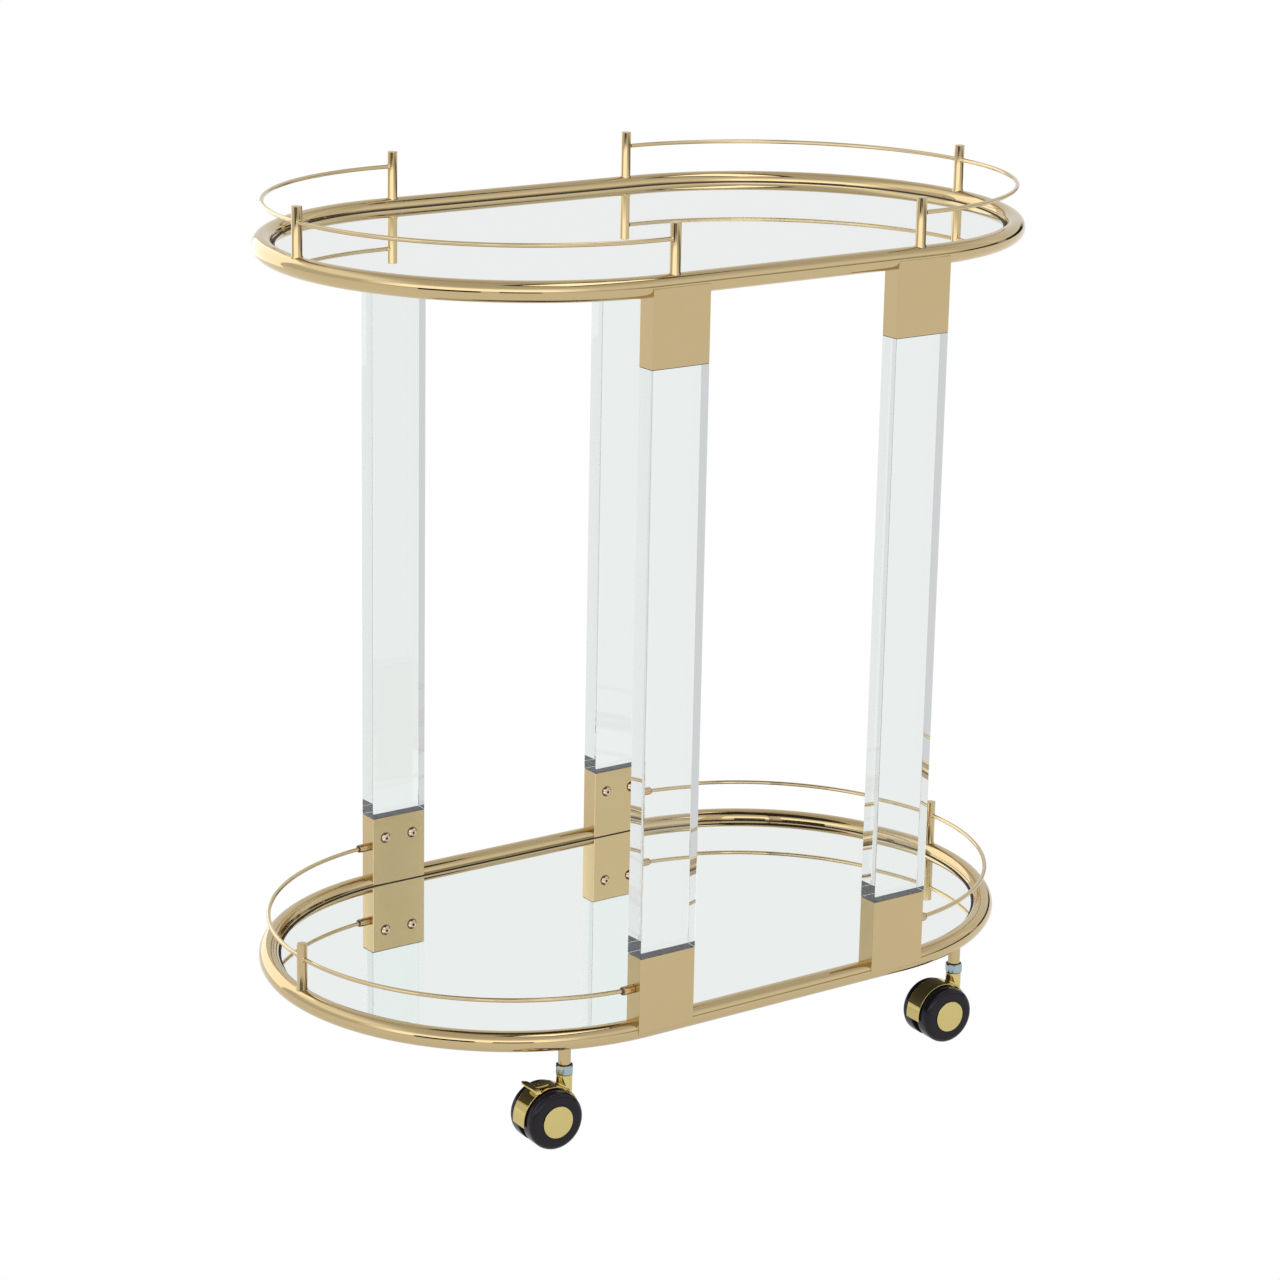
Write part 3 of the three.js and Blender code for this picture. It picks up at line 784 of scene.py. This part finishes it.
def copies_tree():
    """A copy of one pattern piece on each point, its Z turned to the point's facing."""
    tree, given, result = new_group(
        "copies", "GeometryNodeTree",
        [("Geometry", "Geometry", None), ("Pattern", "Object", None),
         ("Material", "Material", None)],
        [("Geometry", "Geometry")])
    pattern = put(tree, "GeometryNodeObjectInfo", {"Object": given["Pattern"], "As Instance": True})
    facing = put(tree, "GeometryNodeInputNamedAttribute", {"Name": "facing"},
                 data_type="FLOAT_VECTOR")
    turn = put(tree, "FunctionNodeAlignRotationToVector", {"Vector": facing.outputs[0]}, axis="Z")
    copies = put(tree, "GeometryNodeInstanceOnPoints", {
        "Points": given["Geometry"], "Instance": pattern.outputs["Geometry"],
        "Rotation": turn.outputs[0]})
    end_of_tree(tree, copies.outputs[0], given["Material"], result)
    return tree


OVAL_TUBE = oval_tube_tree()
GALLERY_ROD = gallery_rod_tree()
COPIES = copies_tree()


def scatter(name, pattern, places, material):
    """One plain mesh with a copy of the pattern at each (point, facing)."""
    mesh = bpy.data.meshes.new(name)
    mesh.from_pydata([point for point, _ in places], [], [])
    facing = mesh.attributes.new("facing", "FLOAT_VECTOR", "POINT")
    for i, (_, direction) in enumerate(places):
        facing.data[i].vector = direction
    piece = grow(name, COPIES, {"Pattern": pattern, "Material": material}, mesh)
    bpy.data.objects.remove(pattern)
    return piece


# ---------------------------------------------------------------- trays
def build_rims():
    """The bent tube round each tray."""
    for tray in TRAYS:
        tube = grow(f"{tray}_rim_tube", OVAL_TUBE, {
            "Centre X": BEND_X, "Bend Radius": SIDE_Y, "Tube Radius": TUBE_RADIUS,
            "Height": TRAY_Z[tray], "Points Per Bend": BEND_STEPS + 1, "Sides": TUBE_SIDES,
            "Material": TUBE_GOLD})
        settle(tube, BODY, [f"{tray}_rim"])


def build_bosses():
    """The threaded bosses that hold the caster stems, under the bottom rim."""
    height = TRAY_Z["bottom"] - BOSS_BOTTOM
    profile = eased([(STEM_RADIUS, 0, 0), (BOSS_RADIUS, 0, BOSS_EASE), (BOSS_RADIUS, height, 0),
                     (0, height, 0)])
    pattern = mesh_object("boss_pattern", turned([(0, 0), *profile], 48), [TUBE_GOLD])
    places = []
    for corner in CORNERS:
        stem = middle(f"caster_stem_{corner}")
        places.append(((stem.x, stem.y, BOSS_BOTTOM), (0, 0, 1)))
    settle(scatter("caster_bosses", pattern, places, TUBE_GOLD), BODY)


def build_plates():
    """A mirror in each rim, on a black board."""
    for tray in TRAYS:
        top = TRAY_Z[tray]
        glass = mesh_object(f"{tray}_mirror_glass",
                            oval_plate(GLASS_RADIUS, GLASS_THICKNESS, top, GLASS_EDGE),
                            [MIRROR], 20)
        settle(glass, BODY, [f"{tray}_mirror"])
        board_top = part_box(f"{tray}_backing_board")[1].z
        board = mesh_object(f"{tray}_board",
                            oval_plate(BOARD_RADIUS, BOARD_THICKNESS, board_top, BOARD_EDGE),
                            [BOARD], 20)
        settle(board, BODY, [f"{tray}_backing_board"])


def build_gap_shades():
    """A black bead between each mirror and its rim: painted shade for the dark gap there."""
    for tray in TRAYS:
        gap_shade = grow(f"{tray}_mirror_seal", OVAL_TUBE, {
            "Centre X": BEND_X, "Bend Radius": GLASS_RADIUS + GAP_SHADE_RADIUS,
            "Tube Radius": GAP_SHADE_RADIUS, "Height": TRAY_Z[tray] - GAP_SHADE_SINK,
            "Points Per Bend": BEND_STEPS + 1, "Sides": GAP_SHADE_SIDES, "Material": BOARD})
        settle(gap_shade, BODY)


# ---------------------------------------------------------------- legs
def sleeve_shape(low, high, mouth):
    """A sleeve with a dark inner land at its mouth that the leg's end sits on: painted shade for the
    unlit inside of the mouth.
    """
    shape = rounded_box(low, high, SLEEVE_ROUND)
    inset = Vector((MOUTH_INSET, MOUTH_INSET, 0))
    bottom, top = low.z - MOUTH_OVERLAP, low.z + SLEEVE_ROUND
    if mouth > 0:
        bottom, top = high.z - SLEEVE_ROUND, high.z + MOUTH_OVERLAP
    mouth_shade_low = Vector((low.x, low.y, bottom)) + inset
    mouth_shade_high = Vector((high.x, high.y, top)) - inset
    return rounded_box(mouth_shade_low, mouth_shade_high, 0, shape=shape, material=1)


def build_legs():
    """Each clear bar between its two sleeves. The bottom sleeve fades into the rim's tube."""
    for corner in CORNERS:
        for tray, mouth in (("bottom", 1), ("top", -1)):
            node = f"{tray}_sleeve_{corner}"
            low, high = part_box(node)
            low.z = max(low.z, TRAY_Z["bottom"] - SLEEVE_SINK)
            sleeve = mesh_object(f"{node}_shell", sleeve_shape(low, high, mouth),
                                 [SLEEVE_GOLD, MOUTH_SHADE], 60)
            weigh_normals(sleeve)
            settle(sleeve, BODY, [node])
        node = f"leg_{corner}"
        low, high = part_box(node)
        low.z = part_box(f"bottom_sleeve_{corner}")[1].z
        high.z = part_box(f"top_sleeve_{corner}")[0].z
        bar = mesh_object(f"{node}_bar", rounded_box(low, high, LEG_ROUND, 2), [ACRYLIC], 60)
        weigh_normals(bar)
        settle(bar, BODY, [node])


def hexagon_ring(radius, height, sides):
    """A ring of points on a hexagon whose corners are at the radius."""
    ring = []
    for i in range(sides):
        angle = FULL_TURN * i / sides
        within = angle % (math.pi / 3) - math.pi / 6
        reach = radius * math.cos(math.pi / 6) / math.cos(within)
        ring.append((reach * math.cos(angle), reach * math.sin(angle), height))
    return ring


def button_screw():
    """A domed screw head with a hexagon socket darkened by painted shade, on a thin dark disc of
    painted contact shadow. Its seat is at Z 0.
    """
    sides = 48
    dome_steps = 7
    shadow_top = 0.25 * MM
    underside = 0.2 * MM
    dome_foot = 0.4 * MM
    mouth = SCREW_HEAD_HEIGHT - 0.15 * MM
    floor = SCREW_HEAD_HEIGHT - SCREW_SOCKET_DEPTH
    land = SCREW_SOCKET_RADIUS + SCREW_SOCKET_LIP
    shape = bmesh.new()
    # a thin dark disc a little wider than the head: painted contact shadow
    add_rings(shape, [circle(0, 0, sides), circle(SCREW_SHADOW_RADIUS, 0, sides),
                      circle(SCREW_SHADOW_RADIUS, shadow_top, sides), circle(0, shadow_top, sides)],
              material=1)
    rings = [circle(0, underside, sides),
             circle(SCREW_HEAD_RADIUS - underside, underside, sides)]
    for step in range(dome_steps + 1):
        angle = math.pi / 2 * step / dome_steps
        radius = land + (SCREW_HEAD_RADIUS - land) * math.cos(angle)
        height = dome_foot + (SCREW_HEAD_HEIGHT - dome_foot) * math.sin(angle)
        rings.append(circle(radius, height, sides))
    rings.append(hexagon_ring(SCREW_SOCKET_RADIUS, mouth, sides))
    add_rings(shape, rings)
    # the socket's inside in the dark finish: painted shade
    add_rings(shape, [hexagon_ring(SCREW_SOCKET_RADIUS, mouth, sides),
                      hexagon_ring(SCREW_SOCKET_RADIUS, floor, sides), circle(0, floor, sides)],
              material=1)
    bmesh.ops.remove_doubles(shape, verts=shape.verts, dist=1e-6)
    return mesh_object("screw_pattern", shape, [SCREW_GOLD, PAINTED_SHADOW])


def build_screws():
    """Two screws on the inner face of each sleeve, bottom and top."""
    places = []
    nodes = []
    middle_z = (TRAY_Z["bottom"] + TRAY_Z["top"]) / 2
    for corner in CORNERS:
        for number in (1, 2):
            node = f"sleeve_screw_{corner}_{number}"
            nodes.append(node)
            spot = middle(node)
            low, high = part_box(f"bottom_sleeve_{corner}")
            inward = -1 if spot.y > 0 else 1
            face = low.y if inward < 0 else high.y
            for z in (spot.z, 2 * middle_z - spot.z):
                places.append(((spot.x, face, z), (0, inward, 0)))
    screws = scatter("sleeve_screws", button_screw(), places, SCREW_GOLD)
    settle(screws, BODY, nodes)


# ---------------------------------------------------------------- gallery
def build_posts():
    """Upright rods on the rims, each in a small collar of weld. They start inside the tube."""
    weld_top = TUBE_RADIUS - 0.3 * MM - POST_FOOT
    weld_radius = POST_RADIUS + POST_WELD
    top = POST_TOP - POST_FOOT
    profile = eased([
        (0, 0, 0), (weld_radius, 0, 0), (weld_radius, weld_top, 0),
        (POST_RADIUS, weld_top + POST_WELD_RISE, 0), (POST_RADIUS, top, POST_EASE), (0, top, 0)])
    pattern = mesh_object("post_pattern", turned(profile, 56), [POST_GOLD])
    nodes = [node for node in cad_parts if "_post_" in node]
    places = []
    for node in nodes:
        spot = middle(node)
        tray = node.split("_")[0]
        places.append(((spot.x, spot.y, TRAY_Z[tray] + POST_FOOT), (0, 0, 1)))
    settle(scatter("gallery_posts", pattern, places, POST_GOLD), BODY, nodes)


def build_rails():
    """Thin rods round each end: over the posts on the top tray, between sleeves below."""
    rail = {"Centre X": BEND_X, "Bend Radius": SIDE_Y, "Rod Radius": RAIL_RADIUS,
            "Points": 2 * BEND_STEPS, "Sides": RAIL_SIDES, "Material": RAIL_GOLD}
    skipped = math.asin((LEG_OUTER_X - BEND_X) / SIDE_Y)
    for end, side in (("left", -1.0), ("right", 1.0)):
        top = grow(f"top_rail_{end}_rod", GALLERY_ROD, {
            **rail, "Side": side, "Straight": BEND_X - END_POST_X,
            "Height": TRAY_Z["top"] + RAIL_HEIGHT})
        settle(top, BODY, [f"top_rail_{end}"])
        bottom = grow(f"bottom_rail_{end}_rod", GALLERY_ROD, {
            **rail, "Side": side, "Skipped Turn": skipped,
            "Height": TRAY_Z["bottom"] + RAIL_HEIGHT})
        settle(bottom, BODY, [f"bottom_rail_{end}"])


def build_ferrules():
    """The turned ends of the bottom rails, each with a dark lip round the rod: painted shade at the
    ferrule's end.
    """
    slim = FERRULE_RADIUS - FERRULE_NECK_STEP
    shape = turned(eased([
        (0, 0, 0), (slim, 0, 0), (slim, FERRULE_NECK, 0),
        (FERRULE_RADIUS, FERRULE_NECK, FERRULE_EASE),
        (FERRULE_RADIUS, FERRULE_LENGTH, FERRULE_EASE), (0, FERRULE_LENGTH, 0)]), 40)
    # the dark lip: painted shade round the rod
    shade_radius = FERRULE_RADIUS - FERRULE_SHADE_STEP
    shade_foot = FERRULE_LENGTH - 0.1 * MM
    shade_top = FERRULE_LENGTH + FERRULE_SHADE_RISE
    turned([(0, shade_foot), (shade_radius, shade_foot), (shade_radius, shade_top), (0, shade_top)], 40,
           material=1, shape=shape)
    pattern = mesh_object("ferrule_pattern", shape, [FERRULE_GOLD, PAINTED_SHADOW])
    places = []
    z = TRAY_Z["bottom"] + RAIL_HEIGHT
    for x in (-1, 1):
        for y in (-1, 1):
            places.append(((x * LEG_OUTER_X, y * (SIDE_Y - FERRULE_INSET), z), (x, 0, 0)))
    settle(scatter("rail_ferrules", pattern, places, FERRULE_GOLD), BODY)


def build_welds():
    """Small fillets of weld where the rails enter the posts."""
    steps = 5
    profile = [(0, 0)]
    for step in range(steps + 1):
        share = step / steps
        profile.append((RAIL_RADIUS * (1 + RAIL_WELD_FLARE * (1 - share) ** 2),
                        RAIL_WELD_LENGTH * share))
    profile.append((0, RAIL_WELD_LENGTH))
    pattern = mesh_object("weld_pattern", turned(profile, 28), [RAIL_GOLD])
    near = POST_RADIUS - RAIL_WELD_SINK
    places = []
    for x in (-1, 1):
        for y in (-1, 1):
            z = TRAY_Z["top"] + RAIL_HEIGHT
            places.append(((x * (END_POST_X + near), y * SIDE_Y, z), (x, 0, 0)))
            for tray in TRAYS:
                z = TRAY_Z[tray] + RAIL_HEIGHT
                places.append(((x * APEX_X, y * near, z), (0, y, 0)))
    settle(scatter("rail_welds", pattern, places, RAIL_GOLD), BODY)


# ---------------------------------------------------------------- casters
def caster_place(corner):
    """From the caster's own frame to the cart's, by its stem and its axle."""
    stem = middle(f"caster_stem_{corner}")
    trail = stem - middle(f"caster_axle_{corner}")
    turn = math.atan2(trail.y, trail.x)
    return Matrix.Translation((stem.x, stem.y, 0)) @ Matrix.Rotation(turn, 4, "Z")


def put_in_place(piece, place):
    """Moves the mesh itself, so that its object stays at the origin."""
    piece.data.transform(place)
    return piece


def axle_place(place, side):
    """Stands a solid turned round Z on the axle, its height outwards to one side."""
    turn = Matrix.Rotation(math.pi / 2 * (1 if side < 0 else -1), 4, "X")
    return place @ Matrix.Translation((-TRAIL, 0, AXLE_Z)) @ turn


def wheel_shape():
    """One wheel, its height measured outwards along the axle from the caster's middle."""
    recess = WHEEL_INNER + RECESS_DEPTH
    seat = WHEEL_FACE - CAP_SEAT
    pocket = CAP_RADIUS + CAP_GROOVE
    profile = eased([
        (BORE_RADIUS, WHEEL_INNER, 0), (WHEEL_HUB, WHEEL_INNER, WHEEL_EASE),
        (WHEEL_HUB + RECESS_SLOPE, recess, WHEEL_EASE), (RECESS_RADIUS, recess, RECESS_EASE),
        (RECESS_RADIUS + RECESS_SLOPE, WHEEL_INNER, WHEEL_EASE),
        (WHEEL_RADIUS, WHEEL_INNER, WHEEL_BACK_EDGE), (WHEEL_RADIUS, WHEEL_FACE, WHEEL_EDGE),
        (pocket, WHEEL_FACE, WHEEL_EASE), (pocket, seat, 0), (BORE_RADIUS, seat, 0)], steps=8)
    return turned(profile, TURNED_SIDES, closed=True)


def cap_shape():
    """The flat disc pressed into a wheel's face, with an eased rim."""
    back = CAP_FACE - CAP_THICKNESS
    return turned(eased([
        (0, back, 0), (CAP_RADIUS, back, 0), (CAP_RADIUS, CAP_FACE, CAP_EASE),
        (CAP_RADIUS - CAP_FLAT, CAP_FACE, 0), (0, CAP_FACE, 0)]), TURNED_SIDES)


def hood_angle(angle, radius, y):
    """A point round the axle: the angle rises from level at the trailing side."""
    return (-TRAIL - radius * math.cos(angle), y, AXLE_Z + radius * math.sin(angle))


def add_arch(shape, section, steps):
    """Sweeps a closed (radius, y) section round the axle between the hood's ends."""
    rings = []
    for step in range(steps + 1):
        angle = HOOD_START + (HOOD_END - HOOD_START) * step / steps
        rings.append([hood_angle(angle, radius, y) for radius, y in section])
    rows = add_rings(shape, rings)
    shape.faces.new(list(reversed(rows[0])))
    shape.faces.new(rows[-1])


def neck_foot_z(x):
    """Height of the arch's surface over a place along the caster."""
    return AXLE_Z + math.sqrt(max(HOOD_OUTER ** 2 - (x + TRAIL) ** 2, 0))


def add_neck(shape):
    """The stem's socket: a round neck that flows onto the arch with a fillet."""
    sides = 64
    fillet_steps = 7
    rings = []
    for step in range(fillet_steps + 1):
        angle = math.pi / 2 * step / fillet_steps
        out = NECK_FILLET * (1 - math.sin(angle))
        up = NECK_FILLET * (1 - math.cos(angle)) - NECK_SINK
        ring = []
        for x, y, _ in circle(NECK_RADIUS + out, 0, sides):
            ring.append((x, y, neck_foot_z(x) + up))
        rings.append(ring)
    for radius, height in eased([
            (NECK_RADIUS, NECK_TOP - NECK_EASE_FROM, 0), (NECK_RADIUS, NECK_TOP, NECK_EASE),
            (STEM_RADIUS, NECK_TOP, 0)]):
        rings.append(circle(radius, height, sides))
    rings.append(circle(0, NECK_TOP, sides))
    rows = add_rings(shape, rings)
    shape.faces.new(list(reversed(rows[0])))


def hood_shape():
    """The arch over the wheels with the stem's socket and the plate that holds the axle."""
    shape = bmesh.new()
    section = eased([
        (HOOD_OUTER, -HOOD_HALF, HOOD_EASE), (HOOD_OUTER, HOOD_HALF, HOOD_EASE),
        (HOOD_INNER, HOOD_HALF, HOOD_EASE), (HOOD_INNER, -HOOD_HALF, HOOD_EASE)], steps=3)
    add_arch(shape, section, 72)
    add_neck(shape)
    add_web(shape)
    bmesh.ops.recalc_face_normals(shape, faces=shape.faces)
    return shape


def add_web(shape):
    """The plate between the wheels that carries the axle."""
    reach = HOOD_INNER + WEB_OVERLAP
    arch_steps = 40
    hub_steps = 12
    outline = [(-TRAIL - WEB_HUB, AXLE_Z), (-TRAIL - reach, AXLE_Z)]
    for step in range(arch_steps + 1):
        x, _, z = hood_angle(HOOD_END * step / arch_steps, reach, 0)
        outline.append((x, z))
    for step in range(hub_steps + 1):
        x, _, z = hood_angle(math.pi * (1 + step / hub_steps), WEB_HUB, 0)
        outline.append((x, z))
    rows = add_rings(shape, [[(x, y, z) for x, z in outline] for y in (-WEB_HALF, WEB_HALF)])
    shape.faces.new(list(reversed(rows[0])))
    shape.faces.new(rows[-1])


def capped_hexagon(radius, limit, height, sides):
    """A hexagon's ring, with its corners cut back to a circle."""
    ring = []
    for x, y, _ in hexagon_ring(radius, 0, sides):
        reach = math.hypot(x, y)
        scale = min(reach, limit) / reach
        ring.append((x * scale, y * scale, height))
    return ring


def stem_shape():
    """The threaded stem with its hexagon collar, chamfered and dished on top."""
    sides = 72
    flat = COLLAR_FLATS / 2
    corner = flat / math.cos(math.pi / 6)
    dish = COLLAR_TOP - COLLAR_DISH_DEPTH
    rings = [circle(0, COLLAR_BOTTOM, sides), circle(flat - COLLAR_LAND, COLLAR_BOTTOM, sides)]
    for limit, height in ((flat, COLLAR_BOTTOM + COLLAR_CHAMFER_START),
                          (corner, COLLAR_BOTTOM + COLLAR_CHAMFER),
                          (corner, COLLAR_TOP - COLLAR_CHAMFER),
                          (flat, COLLAR_TOP - COLLAR_CHAMFER_START)):
        rings.append(capped_hexagon(corner, limit, height, sides))
    for radius, height in ((flat - COLLAR_LAND, COLLAR_TOP), (flat - COLLAR_DISH_FROM, COLLAR_TOP),
                           (flat - COLLAR_DISH_TO, dish), (STEM_RADIUS, dish),
                           (STEM_RADIUS, STEM_TOP), (0, STEM_TOP)):
        rings.append(circle(radius, height, sides))
    shape = bmesh.new()
    add_rings(shape, rings)
    return shape


def add_ribbon(shape, stations, across, thickness):
    """A plate with rounded edges along stations (centre, half width), `across` wide."""
    rings = []
    half = thickness / 2
    centres = [Vector(centre) for centre, _ in stations]
    for i, (centre, width) in enumerate(stations):
        along = centres[min(i + 1, len(centres) - 1)] - centres[max(i - 1, 0)]
        up = Vector(across).cross(along).normalized()
        outline = eased([(-width, -half, 0.6 * half), (width, -half, 0.6 * half),
                         (width, half, 0.6 * half), (-width, half, 0.6 * half)], steps=3)
        rings.append([Vector(centre) + Vector(across) * side + up * rise
                      for side, rise in outline])
    rows = add_rings(shape, rings)
    shape.faces.new(list(reversed(rows[0])))
    shape.faces.new(rows[-1])


def smooth_line(points, steps):
    """Points on a soft curve through given points, evenly spread between each two."""
    line = []
    for i in range(len(points) - 1):
        before, start, end, after = (Vector(points[max(0, min(k, len(points) - 1))])
                                     for k in (i - 1, i, i + 1, i + 2))
        for step in range(steps):
            t = step / steps
            line.append(0.5 * (2 * start + (end - before) * t
                               + (2 * before - 5 * start + 4 * end - after) * t ** 2
                               + (3 * start - before - 3 * end + after) * t ** 3))
    line.append(Vector(points[-1]))
    return line


def lever_shape():
    """A rocker: a plate across the hood, bent down at its near end, and a tongue."""
    shape = bmesh.new()
    add_ribbon(shape, [(v.xyz * MM, v.w * MM) for v in smooth_line(LEVER_PLATE, 5)],
               (1, 0, 0), LEVER_THICK)
    add_ribbon(shape, [(v.xyz * MM, v.w * MM) for v in smooth_line(LEVER_TONGUE, 5)],
               (0, 1, 0), LEVER_THICK)
    for block, rounding in ((LEVER_WEB, 0.4 * MM), (LEVER_BLADE, 0.3 * MM)):
        low, high = ([value * MM for value in corner] for corner in block)
        rounded_box(low, high, rounding, 2, shape)
    bmesh.ops.recalc_face_normals(shape, faces=shape.faces)
    return shape


def build_casters():
    """Stem, hood, wheels and hub caps at each corner, and a lever where there is a brake."""
    for corner in CORNERS:
        place = caster_place(corner)
        caster = f"caster_{corner}"
        stem = mesh_object(f"stem_{corner}", stem_shape(), [ZINC], 25)
        settle(put_in_place(stem, place), BODY, [f"caster_stem_{corner}"])
        hood = mesh_object(f"hood_{corner}", hood_shape(), [HOOD_BRASS], 40)
        weigh_normals(hood)
        settle(put_in_place(hood, place), caster, [f"caster_hood_{corner}"])
        for name, side in (("near", -1), ("far", 1)):
            body = f"{name}_wheel_{corner}"
            wheel = mesh_object(f"{name}_tyre_{corner}", wheel_shape(), [BLACK])
            settle(put_in_place(wheel, axle_place(place, side)), body,
                   [f"wheel_{name}_{corner}"])
            cap = mesh_object(f"{name}_hub_cap_{corner}", cap_shape(), [CAP_BRASS])
            settle(put_in_place(cap, axle_place(place, side)), body)
        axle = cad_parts[f"caster_axle_{corner}"]
        axle.data.materials.clear()
        axle.data.materials.append(STEEL)
    for corner in BRAKED:
        lever = mesh_object(f"lever_{corner}", lever_shape(), [HOOD_BRASS], 45)
        weigh_normals(lever)
        settle(put_in_place(lever, caster_place(corner)), f"brake_{corner}",
               [f"brake_lever_{corner}"])


# ---------------------------------------------------------------- studio
def aimed(place, aim):
    """The turn that makes something at a place look at its aim."""
    return (Vector(aim) - Vector(place)).to_track_quat("-Z", "Y")


def build_camera():
    """A long lens, from the left of the front and a little above."""
    data = bpy.data.cameras.new("camera")
    data.sensor_width = CAMERA_SENSOR
    data.lens = CAMERA_LENS
    data.clip_end = CAMERA_REACH
    camera = bpy.data.objects.new("camera", data)
    camera.rotation_mode = "QUATERNION"
    camera.location = CAMERA_PLACE
    camera.rotation_quaternion = (aimed(CAMERA_PLACE, CAMERA_AIM)
                                  @ Quaternion((0, 0, 1), CAMERA_ROLL))
    bpy.context.scene.collection.objects.link(camera)
    bpy.context.scene.camera = camera


def build_floor():
    """A pale floor. Seen straight on it is plain paper white, so the object stands clear. Seen
    through the acrylic it shows painted shade, greyer towards the front and the left.
    """
    shape = bmesh.new()
    shape.faces.new([shape.verts.new((x * FLOOR_HALF, y * FLOOR_HALF, 0))
                     for x, y in ((-1, -1), (1, -1), (1, 1), (-1, 1))])
    material, tree, shader = new_material("pale_floor")
    seen = put(tree, "ShaderNodeLightPath").outputs
    through = seen["Is Transmission Ray"]
    place = put(tree, "ShaderNodeTexCoord").outputs["Object"]
    spot = put(tree, "ShaderNodeSeparateXYZ", {0: place}).outputs
    nearer = mixed(tree, between(tree, spot["Y"], *NEAR_FROM_Y), THROUGH_WHITE, NEAR_GREY)
    bent = mixed(tree, between(tree, spot["X"], *SIDE_FROM_X), nearer, SIDE_GREY)
    plain = mixed(tree, through, PAPER_WHITE, bent)
    direct = maths(tree, "MAXIMUM", seen["Is Camera Ray"], through)
    join(tree, shader.inputs["Base Color"], mixed(tree, direct, FLOOR_GREY, BLACK_PAPER))
    join(tree, shader.inputs["Emission Color"], mixed(tree, direct, FLOOR_GLOW, plain))
    shader.inputs["Roughness"].default_value = FLOOR_ROUGHNESS
    shader.inputs["Specular IOR Level"].default_value = 0.0
    shader.inputs["Emission Strength"].default_value = 1.0
    mesh_object("floor", shape, [material])


def build_world():
    """A pale room: dimmer overhead, bright at the front left and darkest along the right."""
    world = bpy.data.worlds.new("studio")
    world.use_nodes = True
    tree = world.node_tree
    tree.nodes.clear()
    look = put(tree, "ShaderNodeTexCoord").outputs["Generated"]
    parts = put(tree, "ShaderNodeSeparateXYZ", {0: look}).outputs
    height = maths(tree, "MAXIMUM", parts["Z"], 0.0)

    def blend(part, span, first, second):
        return mixed(tree, between(tree, parts[part], *span), first, second)

    front = blend("X", DARK_FRONT_FROM_X,
                  blend("X", BRIGHT_FRONT_FROM_X, levels(tree, height, FRONT_LEVELS),
                        levels(tree, height, BRIGHT_FRONT_LEVELS)),
                  levels(tree, height, DARK_FRONT_LEVELS))
    back = blend("X", BACK_LEFT_FROM_X, levels(tree, height, BACK_LEVELS),
                 levels(tree, height, BACK_LEFT_LEVELS))
    around = maths(tree, "MULTIPLY_ADD", parts["Y"], 0.5, 0.5)
    on_right = maths(tree, "MULTIPLY", between(tree, parts["X"], *RIGHT_FROM_X),
                     levels(tree, around, RIGHT_BREAKS))
    room = mixed(tree, on_right, blend("Y", BACK_FROM_Y, front, back),
                 levels(tree, height, RIGHT_LEVELS))
    seen = put(tree, "ShaderNodeLightPath").outputs
    clear = mixed(tree, seen["Is Transmission Ray"], room, THROUGH_WHITE)
    colour = mixed(tree, seen["Is Camera Ray"], clear, PAPER_WHITE)
    light = put(tree, "ShaderNodeBackground", {"Color": colour, "Strength": 1.0})
    out = put(tree, "ShaderNodeOutputWorld")
    tree.links.new(light.outputs[0], out.inputs["Surface"])
    bpy.context.scene.world = world


def build_softbox():
    """A soft light overhead, in a black frame that only reflections show."""
    turn = aimed(SOFTBOX_PLACE, SOFTBOX_AIM)
    data = bpy.data.lights.new("top_softbox", "AREA")
    data.shape = "RECTANGLE"
    data.size, data.size_y = SOFTBOX_SIZE
    data.energy = SOFTBOX_POWER
    light = bpy.data.objects.new("top_softbox", data)
    light.location = SOFTBOX_PLACE
    light.rotation_mode = "QUATERNION"
    light.rotation_quaternion = turn
    bpy.context.scene.collection.objects.link(light)

    shape = bmesh.new()
    rings = []
    for border in (0, SOFTBOX_BORDER):
        half_x, half_y = (side / 2 + border for side in SOFTBOX_SIZE)
        rings.append([(-half_x, -half_y, 0), (half_x, -half_y, 0), (half_x, half_y, 0),
                      (-half_x, half_y, 0)])
    add_rings(shape, rings)
    shape.transform(Matrix.Translation(SOFTBOX_PLACE) @ turn.to_matrix().to_4x4())
    flag = mesh_object("top_flag", shape, [BOARD])
    flag.visible_camera = False


def build_card(name, turn, away, size, low, glow):
    """An upright card facing the object, seen only in reflections. No glow is black."""
    material, _, shader = new_material(name)
    shader.inputs["Base Color"].default_value = shade(BLACK_PAPER)
    shader.inputs["Specular IOR Level"].default_value = 0.0
    shader.inputs["Emission Color"].default_value = shade(PAPER_WHITE)
    shader.inputs["Emission Strength"].default_value = glow
    half, high = size[0] / 2, low + size[1]
    shape = bmesh.new()
    shape.faces.new([shape.verts.new(point) for point in (
        (-half, away, low), (half, away, low), (half, away, high), (-half, away, high))])
    shape.transform(Matrix.Rotation(math.radians(turn), 4, "Z"))
    card = mesh_object(name, shape, [material])
    card.visible_camera = False
    card.visible_transmission = False


def build_studio():
    """Camera, floor, room and lights, with colours shown plainly."""
    build_camera()
    build_floor()
    build_world()
    build_softbox()
    for card in CARDS:
        build_card(*card)
    bpy.context.scene.view_settings.view_transform = "Standard"
    bpy.context.scene.view_settings.look = "None"


build_studio()
build_rims()
build_bosses()
build_plates()
build_gap_shades()
build_legs()
build_screws()
build_posts()
build_rails()
build_ferrules()
build_welds()
build_casters()
